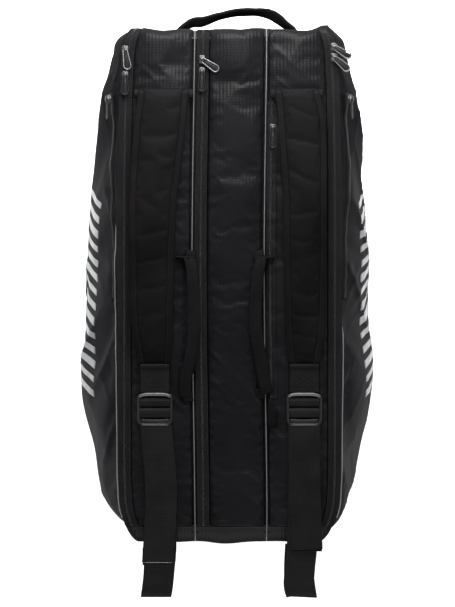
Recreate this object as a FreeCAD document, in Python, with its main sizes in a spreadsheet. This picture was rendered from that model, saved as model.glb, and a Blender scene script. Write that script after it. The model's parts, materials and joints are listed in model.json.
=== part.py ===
import FreeCAD, Part
import math
import os

import Sketcher

# A tournament racket bag that lies on its belly, with its shoulder-strap face up.
# Frame: +Z up, +Y along the bag towards its top handle, +X to the right of someone
# who looks down at the strap face. The origin is the middle of the flat belly.

Vector = FreeCAD.Vector
Rotation = FreeCAD.Rotation
Placement = FreeCAD.Placement

doc = FreeCAD.newDocument("racket_bag")
sheet = doc.addObject("Spreadsheet::Sheet", "Sizes")

# Cross-sections from the bottom end to the top end. Each has its place along Y,
# its half-widths at the face, at the middle of the side panels and at the belly,
# and the heights of the face, of the side's two bends and of the belly.
STATION_KEYS = ("place", "face_half", "side_half", "belly_half", "top", "upper", "lower", "base")
STATIONS = {
    "foot": (-380, 126, 142, 116, 284, 200, 105, 18),
    "heel": (-345, 156, 165, 146, 300, 205, 105, 0),
    "hip": (-300, 165, 193, 155, 300, 205, 105, 0),
    "girth": (-130, 165, 221, 155, 300, 205, 105, 0),
    "waist": (100, 165, 211, 155, 300, 205, 105, 0),
    "chest": (290, 165, 191, 155, 300, 210, 122, 42),
    "neck": (362, 157, 167, 148, 300, 212, 136, 60),
    "crown": (380, 140, 154, 132, 286, 212, 142, 66),
}

SIZES = {
    # shell
    "wall": 4,
    "corner_spread": 0.7,
    "bend_spread": 0.3,
    "seam_gap": 0.6,
    "face_height": 300,
    "face_split": 150,
    "bottom_end_seam": -352,
    "top_end_seam": 366,
    "lid_edge": 161,
    "lid_top_end": 372,
    "divider_offset": 53,
    "divider_thickness": 3,
    "face_panel_outer": 145,
    "face_panel_inner": 56,
    "centre_lid_left": -32,
    "centre_lid_right": 50,
    # piping
    "piping_radius": 1.8,
    "inner_piping_height": 299.2,
    "outer_piping_offset": 167.8,
    "outer_piping_height": 300.6,
    "piping_bottom": -345,
    "piping_top": 362,
    "outer_piping_bottom": -298,
    "outer_piping_top": 288,
    # zips
    "main_zip_offset": 153,
    "main_zip_band": 14.8,
    "centre_zip_offset": -40.5,
    "centre_zip_band": 15.6,
    "zip_thickness": 3,
    "zip_bottom": -351,
    "zip_top": 364,
    "pocket_zip_offset": 63.5,
    "pocket_zip_band": 14,
    "pocket_zip_bottom": -166,
    "pocket_zip_top": 272,
    "surface_zip_thickness": 1,
    "surface_gap": 0.3,
    "side_zip_low": 276,
    "side_zip_high": 289,
    "side_zip_bottom": -96,
    "side_zip_top": 284,
    # sliders and pulls
    "slider_width": 9.6,
    "slider_length": 13,
    "slider_plate": 2.4,
    "slider_lift": 0.5,
    "bridge_width": 2.6,
    "bridge_length": 11.6,
    "bridge_leg": 1.8,
    "bridge_window": 3.6,
    "bridge_roof": 1.4,
    "pull_width": 11,
    "pull_length": 30,
    "pull_thickness": 2.2,
    "pull_rail": 2.6,
    "pull_bar_radius": 1.1,
    "side_slider_offset": 176.6,
    "side_slider_along": 276,
    "side_slider_height": 282,
    "side_slider_tilt": 70,
    # side pockets
    "pocket_skin_outer": 3.4,
    "pocket_skin_inner": 0.5,
    "pocket_low": 60,
    "pocket_high": 274,
    "pocket_bottom": -270,
    "pocket_top": 276,
    # shoulder straps, measured from the bag's middle line
    "strap_underside": 309.6,
    "strap_thickness": 12,
    "strap_top": 286,
    "strap_shoulder": 215,
    "strap_waist": 40,
    "strap_taper": -65,
    "strap_end": -116,
    "strap_top_inner": 66,
    "strap_top_outer": 131,
    "strap_shoulder_inner": 72,
    "strap_shoulder_outer": 141,
    "strap_waist_inner": 80,
    "strap_waist_outer": 145,
    "strap_end_inner": 86,
    "strap_end_outer": 132,
    "strap_patch_length": 26,
    "strap_patch_thickness": 6,
    # webbing and ladder locks
    "webbing_width": 45,
    "webbing_thickness": 1.8,
    "webbing_offset": 109,
    "tab_bottom": -154,
    "tab_underside": 312.4,
    "buckle_width": 52,
    "buckle_top": -156,
    "buckle_bottom": -205,
    "buckle_thickness": 6,
    "buckle_rim": 3.2,
    "buckle_top_bar": 5,
    "buckle_bottom_bar": 9,
    "buckle_slot": 13,
    "buckle_corner": 6,
    "tail_top": -206,
    "left_tail_end": -405,
    "right_tail_end": -385,
    "tail_underside": 313.6,
    "run_height": 310.8,
    "loop_reach": -458,
    "loop_drop": 284,
    "loop_fold": 5,
    "anchor_height": 262,
    "anchor_patch_thickness": 2,
    "anchor_patch_height": 24,
    # carry handles on the face
    "handle_top": 41,
    "handle_bottom": -160,
    "left_handle_root": 62,
    "right_handle_root": 48,
    "handle_bulge": 14,
    "handle_width": 16,
    "handle_thickness": 4,
    "handle_underside": 309.6,
    "left_handle_patch": 62,
    "right_handle_patch": 42,
    "handle_patch_clear": 3,
    "handle_patch_length": 16,
    "handle_patch_width": 12,
    "handle_patch_thickness": 2,
    # top handle
    "top_handle_middle": 9,
    "top_handle_span": 172,
    "top_handle_root": 390,
    "top_handle_rise": 14,
    "top_handle_thickness": 8,
    "top_handle_depth": 16,
    "top_handle_height": 190,
    "top_patch_width": 34,
    "top_patch_thickness": 1.6,
}

# The sliders of the face: the zip that each runs on, its place along the bag, and the way
# its pull points, in degrees from straight down the bag towards +X.
FACE_SLIDERS = {
    "left_upper": ("-main_zip_offset", 346, 8),
    "left_lower": ("-main_zip_offset", 309, 0),
    "centre_upper": ("centre_zip_offset", 332, 56),
    "centre_lower": ("centre_zip_offset", 314, 0),
    "right_upper": ("main_zip_offset", 350, 59),
    "right_lower": ("main_zip_offset", 335, 49),
    "face_pocket": ("pocket_zip_offset", 231, 0),
}
SIDE_SLIDERS = ("left_side", "right_side")

for name, values in STATIONS.items():
    for key, value in zip(STATION_KEYS, values):
        SIZES[f"{name}_{key}"] = value
for name, (_, along, turn) in FACE_SLIDERS.items():
    SIZES[f"{name}_along"] = along
    SIZES[f"{name}_turn"] = turn

for row, (alias, value) in enumerate(SIZES.items(), start=1):
    sheet.set(f"A{row}", alias)
    sheet.set(f"B{row}", str(value))
    sheet.setAlias(f"B{row}", alias)
doc.recompute()

nodes = {}


def size(alias):
    """The number in the sheet's cell of that name."""
    return float(sheet.get(alias))


def bind(thing, prop, expression):
    """Bind a property to the sheet: a word such as wall stands for the cell Sizes.wall."""
    words = []
    word = ""
    for letter in f"{expression} ":
        if letter.isalnum() or letter in "_.":
            word += letter
            continue
        words.append(f"Sizes.{word}" if word in SIZES else word)
        words.append(letter)
        word = ""
    thing.setExpression(prop, "".join(words).strip())


def keep(thing, name):
    """Name a finished sub-part, which is written to its own file."""
    thing.Label = name
    nodes[name] = thing
    return thing


def box(name, low, high):
    """A block between two corners, each given as three expressions."""
    block = doc.addObject("Part::Box", name)
    for prop, axis, start, end in zip(("Length", "Width", "Height"), "xyz", low, high):
        bind(block, prop, f"({end}) - ({start})")
        bind(block, f"Placement.Base.{axis}", start)
    return block


def rod(name, radius, middle, height, bottom, top):
    """A round bar along Y."""
    bar = doc.addObject("Part::Cylinder", name)
    bar.Placement = Placement(Vector(), Rotation(Vector(1, 0, 0), -90))
    bind(bar, "Radius", radius)
    bind(bar, "Height", f"({top}) - ({bottom})")
    bind(bar, "Placement.Base.x", middle)
    bind(bar, "Placement.Base.y", bottom)
    bind(bar, "Placement.Base.z", height)
    return bar


def boolean(kind, name, base, tool):
    """A Part::Cut or Part::Common of two shapes."""
    result = doc.addObject(f"Part::{kind}", name)
    result.Base = base
    result.Tool = tool
    return result


def fuse(name, shapes):
    """One solid, or a group of separate solids, from several shapes."""
    result = doc.addObject("Part::MultiFuse", name)
    result.Shapes = shapes
    return result


def side_sign(side):
    """+1 on the right and -1 on the left."""
    return 1 if side == "right" else -1


def mirrored(side, start, end):
    """The X range of a piece that lies between two offsets from the middle line."""
    if side == "right":
        return start, end
    return f"-({end})", f"-({start})"


# ---------------------------------------------------------------- lofted shell


def section(name, station, grow):
    """The bag's eight-cornered cross-section at a station, grown outwards by grow."""
    sketch = doc.addObject("Sketcher::SketchObject", name)
    sketch.Placement = Placement(Vector(), Rotation(Vector(1, 0, 0), 90))
    corners = (
        (f"{station}_face_half + {grow} * corner_spread", f"{station}_top + {grow}"),
        (f"{station}_side_half + {grow}", f"{station}_upper + {grow} * bend_spread"),
        (f"{station}_side_half + {grow}", f"{station}_lower - {grow} * bend_spread"),
        (f"{station}_belly_half + {grow} * corner_spread", f"{station}_base - {grow}"),
    )
    widths = [size(f"{station}_{key}") for key in ("face_half", "side_half", "side_half", "belly_half")]
    heights = [size(f"{station}_{key}") for key in ("top", "upper", "lower", "base")]
    right = [Vector(w, h, 0) for w, h in zip(widths, heights)]
    left = [Vector(-w, h, 0) for w, h in zip(widths, heights)]
    loop = right + left[::-1]
    count = len(loop)
    for index in range(count):
        sketch.addGeometry(Part.LineSegment(loop[index], loop[(index + 1) % count]))
    for index in range(count):
        sketch.addConstraint(Sketcher.Constraint("Coincident", index, 2, (index + 1) % count, 1))
    for index, (width, height) in enumerate(corners):
        across = sketch.addConstraint(Sketcher.Constraint("DistanceX", index, 1, widths[index]))
        upward = sketch.addConstraint(Sketcher.Constraint("DistanceY", index, 1, heights[index]))
        bind(sketch, f"Constraints[{across}]", width)
        bind(sketch, f"Constraints[{upward}]", height)
        sketch.addConstraint(Sketcher.Constraint("Symmetric", index, 1, count - 1 - index, 1, -2))
    return sketch


def form(name, grow, inset):
    """The whole bag as one loft, grown by grow, with its two ends moved in by inset."""
    sections = []
    for station in STATIONS:
        sketch = section(f"{name}_{station}", station, grow)
        shift = {"foot": f"+ {inset}", "crown": f"- {inset}"}.get(station, "")
        bind(sketch, "Placement.Base.y", f"{station}_place {shift}")
        sections.append(sketch)
    loft = doc.addObject("Part::Loft", name)
    loft.Sections = sections
    loft.Solid = True
    loft.Ruled = True
    return loft


outer_form = form("outer_form", "0", "0")
inner_form = form("inner_form", "(0 - wall)", "wall")
shell = boolean("Cut", "shell", outer_form, inner_form)
liner_form = form("liner_form", "(0 - wall - seam_gap)", "(wall + seam_gap)")

FAR = "400"
FLOOR = "-20"
ROOF = "400"
PANEL_ENDS = ("bottom_end_seam + seam_gap", "top_end_seam - seam_gap")


def shell_panel(name, low, high):
    """The part of the shell inside a block."""
    keep(boolean("Common", name, shell, box(f"{name}_block", low, high)), name)


def make_fixed_panels():
    """Belly, face and end panels, and the two walls between the compartments."""
    start, end = PANEL_ENDS
    shell_panel(
        "belly_panel",
        ("-lid_edge + seam_gap", start, FLOOR),
        ("lid_edge - seam_gap", end, "face_split"),
    )
    shell_panel("bottom_end_panel", (f"-{FAR}", f"-{FAR}", FLOOR), (FAR, "bottom_end_seam", ROOF))
    shell_panel(
        "top_end_panel",
        ("-lid_edge + seam_gap", "top_end_seam", FLOOR),
        ("lid_edge - seam_gap", FAR, ROOF),
    )
    for side in ("left", "right"):
        low, high = mirrored(side, "face_panel_inner", "face_panel_outer")
        shell_panel(f"{side}_face_panel", (low, start, "face_split"), (high, end, ROOF))
        low, high = mirrored(
            side,
            "divider_offset - divider_thickness / 2",
            "divider_offset + divider_thickness / 2",
        )
        block = box(f"{side}_divider_block", (low, start, FLOOR), (high, end, "face_height - wall"))
        divider = boolean("Common", f"{side}_divider", liner_form, block)
        keep(divider, f"{side}_divider")


def make_lids():
    """The panels that open: both sides, and the middle strip of the face."""
    for side in ("left", "right"):
        low, high = mirrored(side, "lid_edge", FAR)
        shell_panel(
            f"{side}_lid",
            (low, "bottom_end_seam + seam_gap", FLOOR),
            (high, "lid_top_end", ROOF),
        )
    start, end = PANEL_ENDS
    shell_panel(
        "centre_lid",
        ("centre_lid_left", start, "face_split"),
        ("centre_lid_right", end, ROOF),
    )


def make_side_pockets():
    """The flat pocket and its zip on each side panel, which follow the panel's shape."""
    pocket_outer = form("pocket_outer", "pocket_skin_outer", "0")
    pocket_inner = form("pocket_inner", "pocket_skin_inner", "0")
    pocket_shell = boolean("Cut", "pocket_shell", pocket_outer, pocket_inner)
    for side in ("left", "right"):
        low, high = mirrored(side, "lid_edge + wall", FAR)
        block = box(
            f"{side}_pocket_block",
            (low, "pocket_bottom", "pocket_low"),
            (high, "pocket_top", "pocket_high"),
        )
        keep(boolean("Common", f"{side}_side_pocket", pocket_shell, block), f"{side}_side_pocket")
        block = box(
            f"{side}_side_zip_block",
            (low, "side_zip_bottom", "side_zip_low"),
            (high, "side_zip_top", "side_zip_high"),
        )
        chain = boolean("Common", f"{side}_side_zip_tape", pocket_shell, block)
        keep(chain, f"{side}_side_zip_tape")


def make_pipings():
    """Round piping beside the middle strip, and along the edge of each side panel."""
    for side in ("left", "right"):
        sign = "" if side == "right" else "-"
        inner = rod(
            f"{side}_inner_piping",
            "piping_radius",
            f"{sign}divider_offset",
            "inner_piping_height",
            "piping_bottom",
            "piping_top",
        )
        keep(inner, f"{side}_inner_piping")
        outer = rod(
            f"{side}_outer_piping",
            "piping_radius",
            f"{sign}outer_piping_offset",
            "outer_piping_height",
            "outer_piping_bottom",
            "outer_piping_top",
        )
        keep(outer, f"{side}_outer_piping")


def make_zip_tapes():
    """The straight zips of the face: three between panels and one on the right face panel."""
    zips = {
        "left_zip_tape": ("-main_zip_offset", "main_zip_band"),
        "centre_zip_tape": ("centre_zip_offset", "centre_zip_band"),
        "right_zip_tape": ("main_zip_offset", "main_zip_band"),
    }
    for name, (middle, band) in zips.items():
        tape = box(
            name,
            (f"{middle} - {band} / 2", "zip_bottom", "face_height - zip_thickness"),
            (f"{middle} + {band} / 2", "zip_top", "face_height"),
        )
        keep(tape, name)
    tape = box(
        "pocket_zip_tape",
        (
            "pocket_zip_offset - pocket_zip_band / 2",
            "pocket_zip_bottom",
            "face_height + surface_gap",
        ),
        (
            "pocket_zip_offset + pocket_zip_band / 2",
            "pocket_zip_top",
            "face_height + surface_gap + surface_zip_thickness",
        ),
    )
    keep(tape, "pocket_zip_tape")


# ---------------------------------------------------------------- sliders and pulls

def placed(name, shape_objects, placement):
    """One solid made of several pieces, put in its place."""
    result = fuse(name, shape_objects)
    result.Placement = placement
    return keep(result, name)


def make_slider(name, placement, turn):
    """A zip slider: a plate that rides the chain and a bridge that holds the pull."""
    plate = box(
        f"{name}_plate",
        ("-slider_width / 2", "-slider_length / 2", "0"),
        ("slider_width / 2", "slider_length / 2", "slider_plate"),
    )
    arch = box(
        f"{name}_arch",
        ("-bridge_width / 2", "-bridge_length / 2", "slider_plate"),
        ("bridge_width / 2", "bridge_length / 2", "slider_plate + bridge_window + bridge_roof"),
    )
    window = box(
        f"{name}_window",
        ("-bridge_width", "-bridge_length / 2 + bridge_leg", "slider_plate"),
        ("bridge_width", "bridge_length / 2 - bridge_leg", "slider_plate + bridge_window"),
    )
    bridge = boolean("Cut", f"{name}_bridge", arch, window)
    bridge.Placement = Placement(Vector(), Rotation(Vector(0, 0, 1), turn))
    placed(f"{name}_slider", [plate, bridge], placement)


def make_pull(name, placement, turn):
    """A long ring whose round top bar runs through the slider's bridge."""
    middle = "slider_plate + bridge_window / 2"
    low = f"{middle} - pull_thickness / 2"
    high = f"{middle} + pull_thickness / 2"
    plate = box(
        f"{name}_pull_plate",
        ("-pull_width / 2", "-pull_length", low),
        ("pull_width / 2", "0", high),
    )
    slot = box(
        f"{name}_pull_slot",
        ("-pull_width / 2 + pull_rail", "-pull_length + pull_rail", "-slider_plate"),
        ("pull_width / 2 - pull_rail", "pull_rail", "slider_plate + bridge_window * 2"),
    )
    frame = boolean("Cut", f"{name}_pull_frame", plate, slot)
    bar = doc.addObject("Part::Cylinder", f"{name}_pull_bar")
    bar.Placement = Placement(Vector(), Rotation(Vector(0, 1, 0), 90))
    bind(bar, "Radius", "pull_bar_radius")
    bind(bar, "Height", "pull_width")
    bind(bar, "Placement.Base.x", "-pull_width / 2")
    bind(bar, "Placement.Base.z", middle)
    spin = Placement(Vector(), Rotation(Vector(0, 0, 1), turn))
    placed(f"{name}_pull", [frame, bar], placement.multiply(spin))


def make_sliders():
    """All the sliders and their pulls, on the face and on the two side pockets."""
    for name, (middle, _, _) in FACE_SLIDERS.items():
        sign = -1 if middle.startswith("-") else 1
        height = size("face_height") + size("slider_lift")
        if name == "face_pocket":
            height += size("surface_gap") + size("surface_zip_thickness")
        base = Vector(sign * size(middle.lstrip("-")), size(f"{name}_along"), height)
        place = Placement(base, Rotation())
        turn = size(f"{name}_turn")
        make_slider(name, place, turn)
        make_pull(name, place, turn)
    for name in SIDE_SLIDERS:
        sign = side_sign(name.removesuffix("_side"))
        base = Vector(
            sign * size("side_slider_offset"),
            size("side_slider_along"),
            size("side_slider_height"),
        )
        place = Placement(base, Rotation(Vector(0, 1, 0), sign * size("side_slider_tilt")))
        make_slider(name, place, 0)
        make_pull(name, place, 0)


# ---------------------------------------------------------------- straps and webbing


def outline_body(name, side, outline, underside, thickness):
    """A padded solid: a symmetric-by-side outline drawn from above and padded upwards."""
    body = doc.addObject("PartDesign::Body", name)
    sketch = body.newObject("Sketcher::SketchObject", f"{name}_outline")
    plane = [f for f in body.Origin.OriginFeatures if f.Role == "XY_Plane"][0]
    sketch.AttachmentSupport = (plane, "")
    sketch.MapMode = "FlatFace"
    sign = side_sign(side)
    points = [Vector(sign * size(across), size(along), 0) for across, along in outline]
    count = len(points)
    for index in range(count):
        sketch.addGeometry(Part.LineSegment(points[index], points[(index + 1) % count]))
    for index in range(count):
        sketch.addConstraint(Sketcher.Constraint("Coincident", index, 2, (index + 1) % count, 1))
    for index, (across, along) in enumerate(outline):
        sideways = sketch.addConstraint(Sketcher.Constraint("DistanceX", index, 1, points[index].x))
        upward = sketch.addConstraint(Sketcher.Constraint("DistanceY", index, 1, points[index].y))
        bind(sketch, f"Constraints[{sideways}]", across if sign > 0 else f"-{across}")
        bind(sketch, f"Constraints[{upward}]", along)
    bind(sketch, "AttachmentOffset.Base.z", underside)
    pad = body.newObject("PartDesign::Pad", f"{name}_pad")
    pad.Profile = sketch
    bind(pad, "Length", thickness)
    return body


def make_shoulder_strap(side):
    """A padded strap, its sewn-on patch, its webbing tab and its ladder lock."""
    outline = (
        ("strap_top_inner", "strap_top"),
        ("strap_top_outer", "strap_top"),
        ("strap_shoulder_outer", "strap_shoulder"),
        ("strap_waist_outer", "strap_waist"),
        ("strap_waist_outer", "strap_taper"),
        ("strap_end_outer", "strap_end"),
        ("strap_end_inner", "strap_end"),
        ("strap_waist_inner", "strap_taper"),
        ("strap_waist_inner", "strap_waist"),
        ("strap_shoulder_inner", "strap_shoulder"),
    )
    name = f"{side}_shoulder_strap"
    keep(outline_body(name, side, outline, "strap_underside", "strap_thickness"), name)
    low, high = mirrored(
        side, "webbing_offset - webbing_width / 2", "webbing_offset + webbing_width / 2"
    )
    tab = box(
        f"{side}_strap_tab",
        (low, "tab_bottom", "tab_underside"),
        (high, "strap_end - seam_gap", "tab_underside + webbing_thickness"),
    )
    keep(tab, f"{side}_strap_tab")
    tail = box(
        f"{side}_tail_webbing",
        (low, f"{side}_tail_end", "tail_underside"),
        (high, "tail_top", "tail_underside + webbing_thickness"),
    )
    keep(tail, f"{side}_tail_webbing")
    make_ladder_lock(side)


def make_ladder_lock(side):
    """A rounded frame with two slots, one above and one below its middle bar."""
    low, high = mirrored(
        side, "webbing_offset - buckle_width / 2", "webbing_offset + buckle_width / 2"
    )
    blank = box(
        f"{side}_buckle_blank",
        (low, "buckle_bottom", "strap_underside"),
        (high, "buckle_top", "strap_underside + buckle_thickness"),
    )
    doc.recompute()
    rounded = doc.addObject("Part::Fillet", f"{side}_buckle_rounded")
    rounded.Base = blank
    upright = [
        (index + 1, size("buckle_corner"), size("buckle_corner"))
        for index, edge in enumerate(blank.Shape.Edges)
        if abs(edge.tangentAt(edge.FirstParameter).z) > 0.9
    ]
    rounded.Edges = upright
    low, high = mirrored(
        side,
        "webbing_offset - buckle_width / 2 + buckle_rim",
        "webbing_offset + buckle_width / 2 - buckle_rim",
    )
    upper_slot = box(
        f"{side}_buckle_upper_slot",
        (low, "buckle_top - buckle_top_bar - buckle_slot", "strap_underside - wall"),
        (high, "buckle_top - buckle_top_bar", "strap_underside + buckle_thickness + wall"),
    )
    lower_slot = box(
        f"{side}_buckle_lower_slot",
        (low, "buckle_bottom + buckle_bottom_bar", "strap_underside - wall"),
        (
            high,
            "buckle_bottom + buckle_bottom_bar + buckle_slot",
            "strap_underside + buckle_thickness + wall",
        ),
    )
    slots = fuse(f"{side}_buckle_slots", [upper_slot, lower_slot])
    keep(boolean("Cut", f"{side}_ladder_lock", rounded, slots), f"{side}_ladder_lock")


def band_along(path, thickness):
    """The outline of a band of even thickness along a path of points in the YZ plane."""
    near = []
    far = []
    for index, point in enumerate(path):
        before = path[max(index - 1, 0)]
        after = path[min(index + 1, len(path) - 1)]
        along = (after - before).normalize()
        across = Vector(0, -along.z, along.y) * (thickness / 2)
        near.append(point + across)
        far.append(point - across)
    return near + far[::-1]


def make_anchor_webbing(side):
    """The webbing from the ladder lock past the bag's end, back to its anchor in one fold."""
    run = size("run_height")
    fold = size("loop_fold")
    reach = size("loop_reach")
    drop = size("loop_drop")
    foot = size("foot_place")
    start = foot - size("anchor_patch_thickness") - 2 * size("seam_gap")
    fold_middle = Vector(0, reach + fold, drop)
    turns = [
        fold_middle + Vector(0, -math.sin(a), math.cos(a)) * fold
        for a in (math.radians(step) for step in range(0, 181, 30))
    ]
    path = [
        Vector(0, size("tail_top"), run),
        Vector(0, foot, run),
        Vector(0, foot - 2 * (foot - reach) / 3, (run + drop) / 2 + fold),
        *turns,
        Vector(0, start, size("anchor_height")),
    ]
    outline = band_along(path, size("webbing_thickness"))
    face = Part.Face(Part.makePolygon(outline + outline[:1]))
    width = size("webbing_width")
    webbing = doc.addObject("Part::Feature", f"{side}_anchor_webbing")
    webbing.Shape = face.extrude(Vector(width, 0, 0))
    middle = side_sign(side) * size("webbing_offset")
    webbing.Placement = Placement(Vector(middle - width / 2, 0, 0), Rotation())
    keep(webbing, f"{side}_anchor_webbing")


def make_patches():
    """Sewn-on patches: two under the straps, two at the webbing's anchors."""
    straps = []
    anchors = []
    for side in ("left", "right"):
        low, high = mirrored(side, "strap_top_inner", "strap_top_outer")
        patch = box(
            f"{side}_strap_patch",
            (low, "strap_top + seam_gap", "face_height + surface_gap"),
            (
                high,
                "strap_top + strap_patch_length",
                "face_height + surface_gap + strap_patch_thickness",
            ),
        )
        straps.append(patch)
        low, high = mirrored(
            side, "webbing_offset - webbing_width / 2", "webbing_offset + webbing_width / 2"
        )
        patch = box(
            f"{side}_anchor_patch",
            (
                low,
                "foot_place - surface_gap - anchor_patch_thickness",
                "anchor_height - anchor_patch_height / 2",
            ),
            (high, "foot_place - surface_gap", "anchor_height + anchor_patch_height / 2"),
        )
        anchors.append(patch)
    keep(fuse("strap_patches", straps), "strap_patches")
    keep(fuse("webbing_anchor_patches", anchors), "webbing_anchor_patches")


# ---------------------------------------------------------------- handles


def arc_band(name, chord, rise, width, height, placement):
    """A flat arc in the XY plane that rises towards +Y from a chord along X."""
    reach = f"(({chord}) ^ 2 / 4 + {rise} ^ 2) / (2 * {rise})"
    rings = []
    for label, edge in (("outside", f"+ {width} / 2"), ("inside", f"- {width} / 2")):
        ring = doc.addObject("Part::Cylinder", f"{name}_{label}")
        bind(ring, "Radius", f"{reach} {edge}")
        bind(ring, "Height", height)
        bind(ring, "Angle", f"2 * asin(({chord}) / 2 / ({reach}))")
        rings.append(ring)
    doc.recompute()
    radius = (rings[0].Radius.Value + rings[1].Radius.Value) / 2
    spread = rings[0].Angle.Value
    band = boolean("Cut", name, *rings)
    turn = Rotation(Vector(0, 0, 1), 90 - spread / 2)
    settle = Placement(Vector(0, size(rise) - radius, 0), turn)
    band.Placement = placement.multiply(settle)
    return keep(band, name)


def make_handles():
    """Two carry handles that lie on the face, and the top handle beyond the top end."""
    middle = (size("handle_top") + size("handle_bottom")) / 2
    for side in ("left", "right"):
        sign = side_sign(side)
        base = Vector(sign * size(f"{side}_handle_root"), middle, size("handle_underside"))
        arc_band(
            f"{side}_carry_handle",
            "handle_top - handle_bottom",
            "handle_bulge",
            "handle_width",
            "handle_thickness",
            Placement(base, Rotation(Vector(0, 0, 1), sign * 90)),
        )
    base = Vector(
        size("top_handle_middle"),
        size("top_handle_root"),
        size("top_handle_height") - size("top_handle_depth") / 2,
    )
    arc_band(
        "top_handle",
        "top_handle_span",
        "top_handle_rise",
        "top_handle_thickness",
        "top_handle_depth",
        Placement(base, Rotation()),
    )


def make_handle_patches():
    """The sewn ends of the handles: small patches on the face and on the top end."""
    for side in ("left", "right"):
        low, high = mirrored(
            side,
            f"{side}_handle_patch - handle_patch_width / 2",
            f"{side}_handle_patch + handle_patch_width / 2",
        )
        patches = []
        starts = {
            "upper": "handle_top + handle_patch_clear",
            "lower": "handle_bottom - handle_patch_clear - handle_patch_length",
        }
        for end, start in starts.items():
            patch = box(
                f"{side}_{end}_handle_patch",
                (low, start, "face_height + surface_gap"),
                (
                    high,
                    f"{start} + handle_patch_length",
                    "face_height + surface_gap + handle_patch_thickness",
                ),
            )
            patches.append(patch)
        keep(fuse(f"{side}_handle_patches", patches), f"{side}_handle_patches")
    ends = []
    for label, sign in (("left", "-"), ("right", "+")):
        middle = f"top_handle_middle {sign} top_handle_span / 2"
        patch = box(
            f"{label}_top_patch",
            (
                f"{middle} - top_patch_width / 2",
                "crown_place + surface_gap",
                "top_handle_height - top_handle_depth",
            ),
            (
                f"{middle} + top_patch_width / 2",
                "crown_place + surface_gap + top_patch_thickness",
                "top_handle_height + top_handle_depth",
            ),
        )
        ends.append(patch)
    keep(fuse("top_handle_patches", ends), "top_handle_patches")


# ---------------------------------------------------------------- build and write


def check_document():
    """Stop if any object failed, or any sub-part has no valid solid."""
    for thing in doc.Objects:
        if "Invalid" in thing.State or "Error" in thing.State:
            raise RuntimeError(f"{thing.Name}: {thing.State}")
    for name, thing in nodes.items():
        shape = thing.Shape
        if shape.isNull() or not shape.isValid() or not shape.Solids:
            raise RuntimeError(f"{name} has no valid solid")


def write_parts():
    """One STEP file for each sub-part."""
    os.makedirs("parts", exist_ok=True)
    for name, thing in nodes.items():
        thing.Shape.exportStep(f"parts/{name}.step")
        print(name, len(thing.Shape.Solids), round(thing.Shape.Volume / 1000, 1), "cm3")


make_fixed_panels()
make_lids()
make_side_pockets()
make_pipings()
make_zip_tapes()
make_sliders()
for strap_side in ("left", "right"):
    make_shoulder_strap(strap_side)
    make_anchor_webbing(strap_side)
make_patches()
make_handles()
make_handle_patches()
doc.recompute()
check_document()
write_parts()
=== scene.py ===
import json
import math

import bpy
import numpy as np
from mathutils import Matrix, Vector


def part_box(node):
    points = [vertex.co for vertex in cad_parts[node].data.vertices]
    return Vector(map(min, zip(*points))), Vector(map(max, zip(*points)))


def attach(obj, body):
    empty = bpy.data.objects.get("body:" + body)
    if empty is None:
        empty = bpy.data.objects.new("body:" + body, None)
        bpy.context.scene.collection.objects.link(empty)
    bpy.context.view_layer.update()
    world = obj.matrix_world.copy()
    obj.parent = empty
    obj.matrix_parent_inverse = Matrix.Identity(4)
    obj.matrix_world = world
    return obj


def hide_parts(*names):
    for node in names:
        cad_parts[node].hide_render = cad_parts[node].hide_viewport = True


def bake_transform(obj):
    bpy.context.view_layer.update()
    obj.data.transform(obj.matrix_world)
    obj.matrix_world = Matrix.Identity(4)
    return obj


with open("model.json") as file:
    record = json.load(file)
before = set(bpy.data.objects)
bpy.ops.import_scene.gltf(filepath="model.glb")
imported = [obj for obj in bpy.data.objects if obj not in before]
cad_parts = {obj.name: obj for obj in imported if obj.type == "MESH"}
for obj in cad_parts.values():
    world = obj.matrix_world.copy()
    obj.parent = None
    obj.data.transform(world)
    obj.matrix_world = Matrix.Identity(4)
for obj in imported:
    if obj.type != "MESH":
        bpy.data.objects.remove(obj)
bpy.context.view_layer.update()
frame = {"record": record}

# ------------------------------------------------------------------ places from the frame

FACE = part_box("left_face_panel")[1].z
BOTTOM_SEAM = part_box("bottom_end_panel")[1].y
TOP_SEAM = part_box("top_end_panel")[0].y
BOTTOM_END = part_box("bottom_end_panel")[0].y
TOP_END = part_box("top_end_panel")[1].y
PANEL_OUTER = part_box("right_face_panel")[1].x
PANEL_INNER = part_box("right_face_panel")[0].x
STRIP_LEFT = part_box("centre_lid")[0].x
STRIP_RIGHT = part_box("centre_lid")[1].x
SIDES = {"left": -1, "right": 1}

# The bag's outline along Y: half-widths at the face, at the widest line of the left and of the
# right side, and at the belly, then the belly's height. Metres.
OUTLINE = (
    (-0.380, 0.136, 0.152, 0.150, 0.130, 0.012),
    (-0.352, 0.152, 0.173, 0.167, 0.144, 0.001),
    (-0.328, 0.160, 0.191, 0.179, 0.150, 0.000),
    (-0.294, 0.163, 0.201, 0.191, 0.154, 0.000),
    (-0.250, 0.164, 0.208, 0.199, 0.156, 0.000),
    (-0.200, 0.164, 0.219, 0.211, 0.157, 0.000),
    (-0.162, 0.164, 0.223, 0.217, 0.157, 0.000),
    (-0.108, 0.164, 0.223, 0.219, 0.157, 0.000),
    (-0.040, 0.164, 0.221, 0.216, 0.157, 0.000),
    (0.060, 0.164, 0.216, 0.211, 0.156, 0.001),
    (0.154, 0.164, 0.209, 0.206, 0.156, 0.010),
    (0.217, 0.163, 0.204, 0.203, 0.155, 0.022),
    (0.272, 0.162, 0.198, 0.198, 0.152, 0.036),
    (0.318, 0.160, 0.190, 0.191, 0.149, 0.048),
    (0.349, 0.157, 0.181, 0.182, 0.146, 0.056),
    (0.366, 0.152, 0.173, 0.173, 0.141, 0.061),
    (0.380, 0.144, 0.160, 0.162, 0.134, 0.066),
)
RING_ROOM = 0.045  # how far the side's section leans away from the face and from the belly
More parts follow.
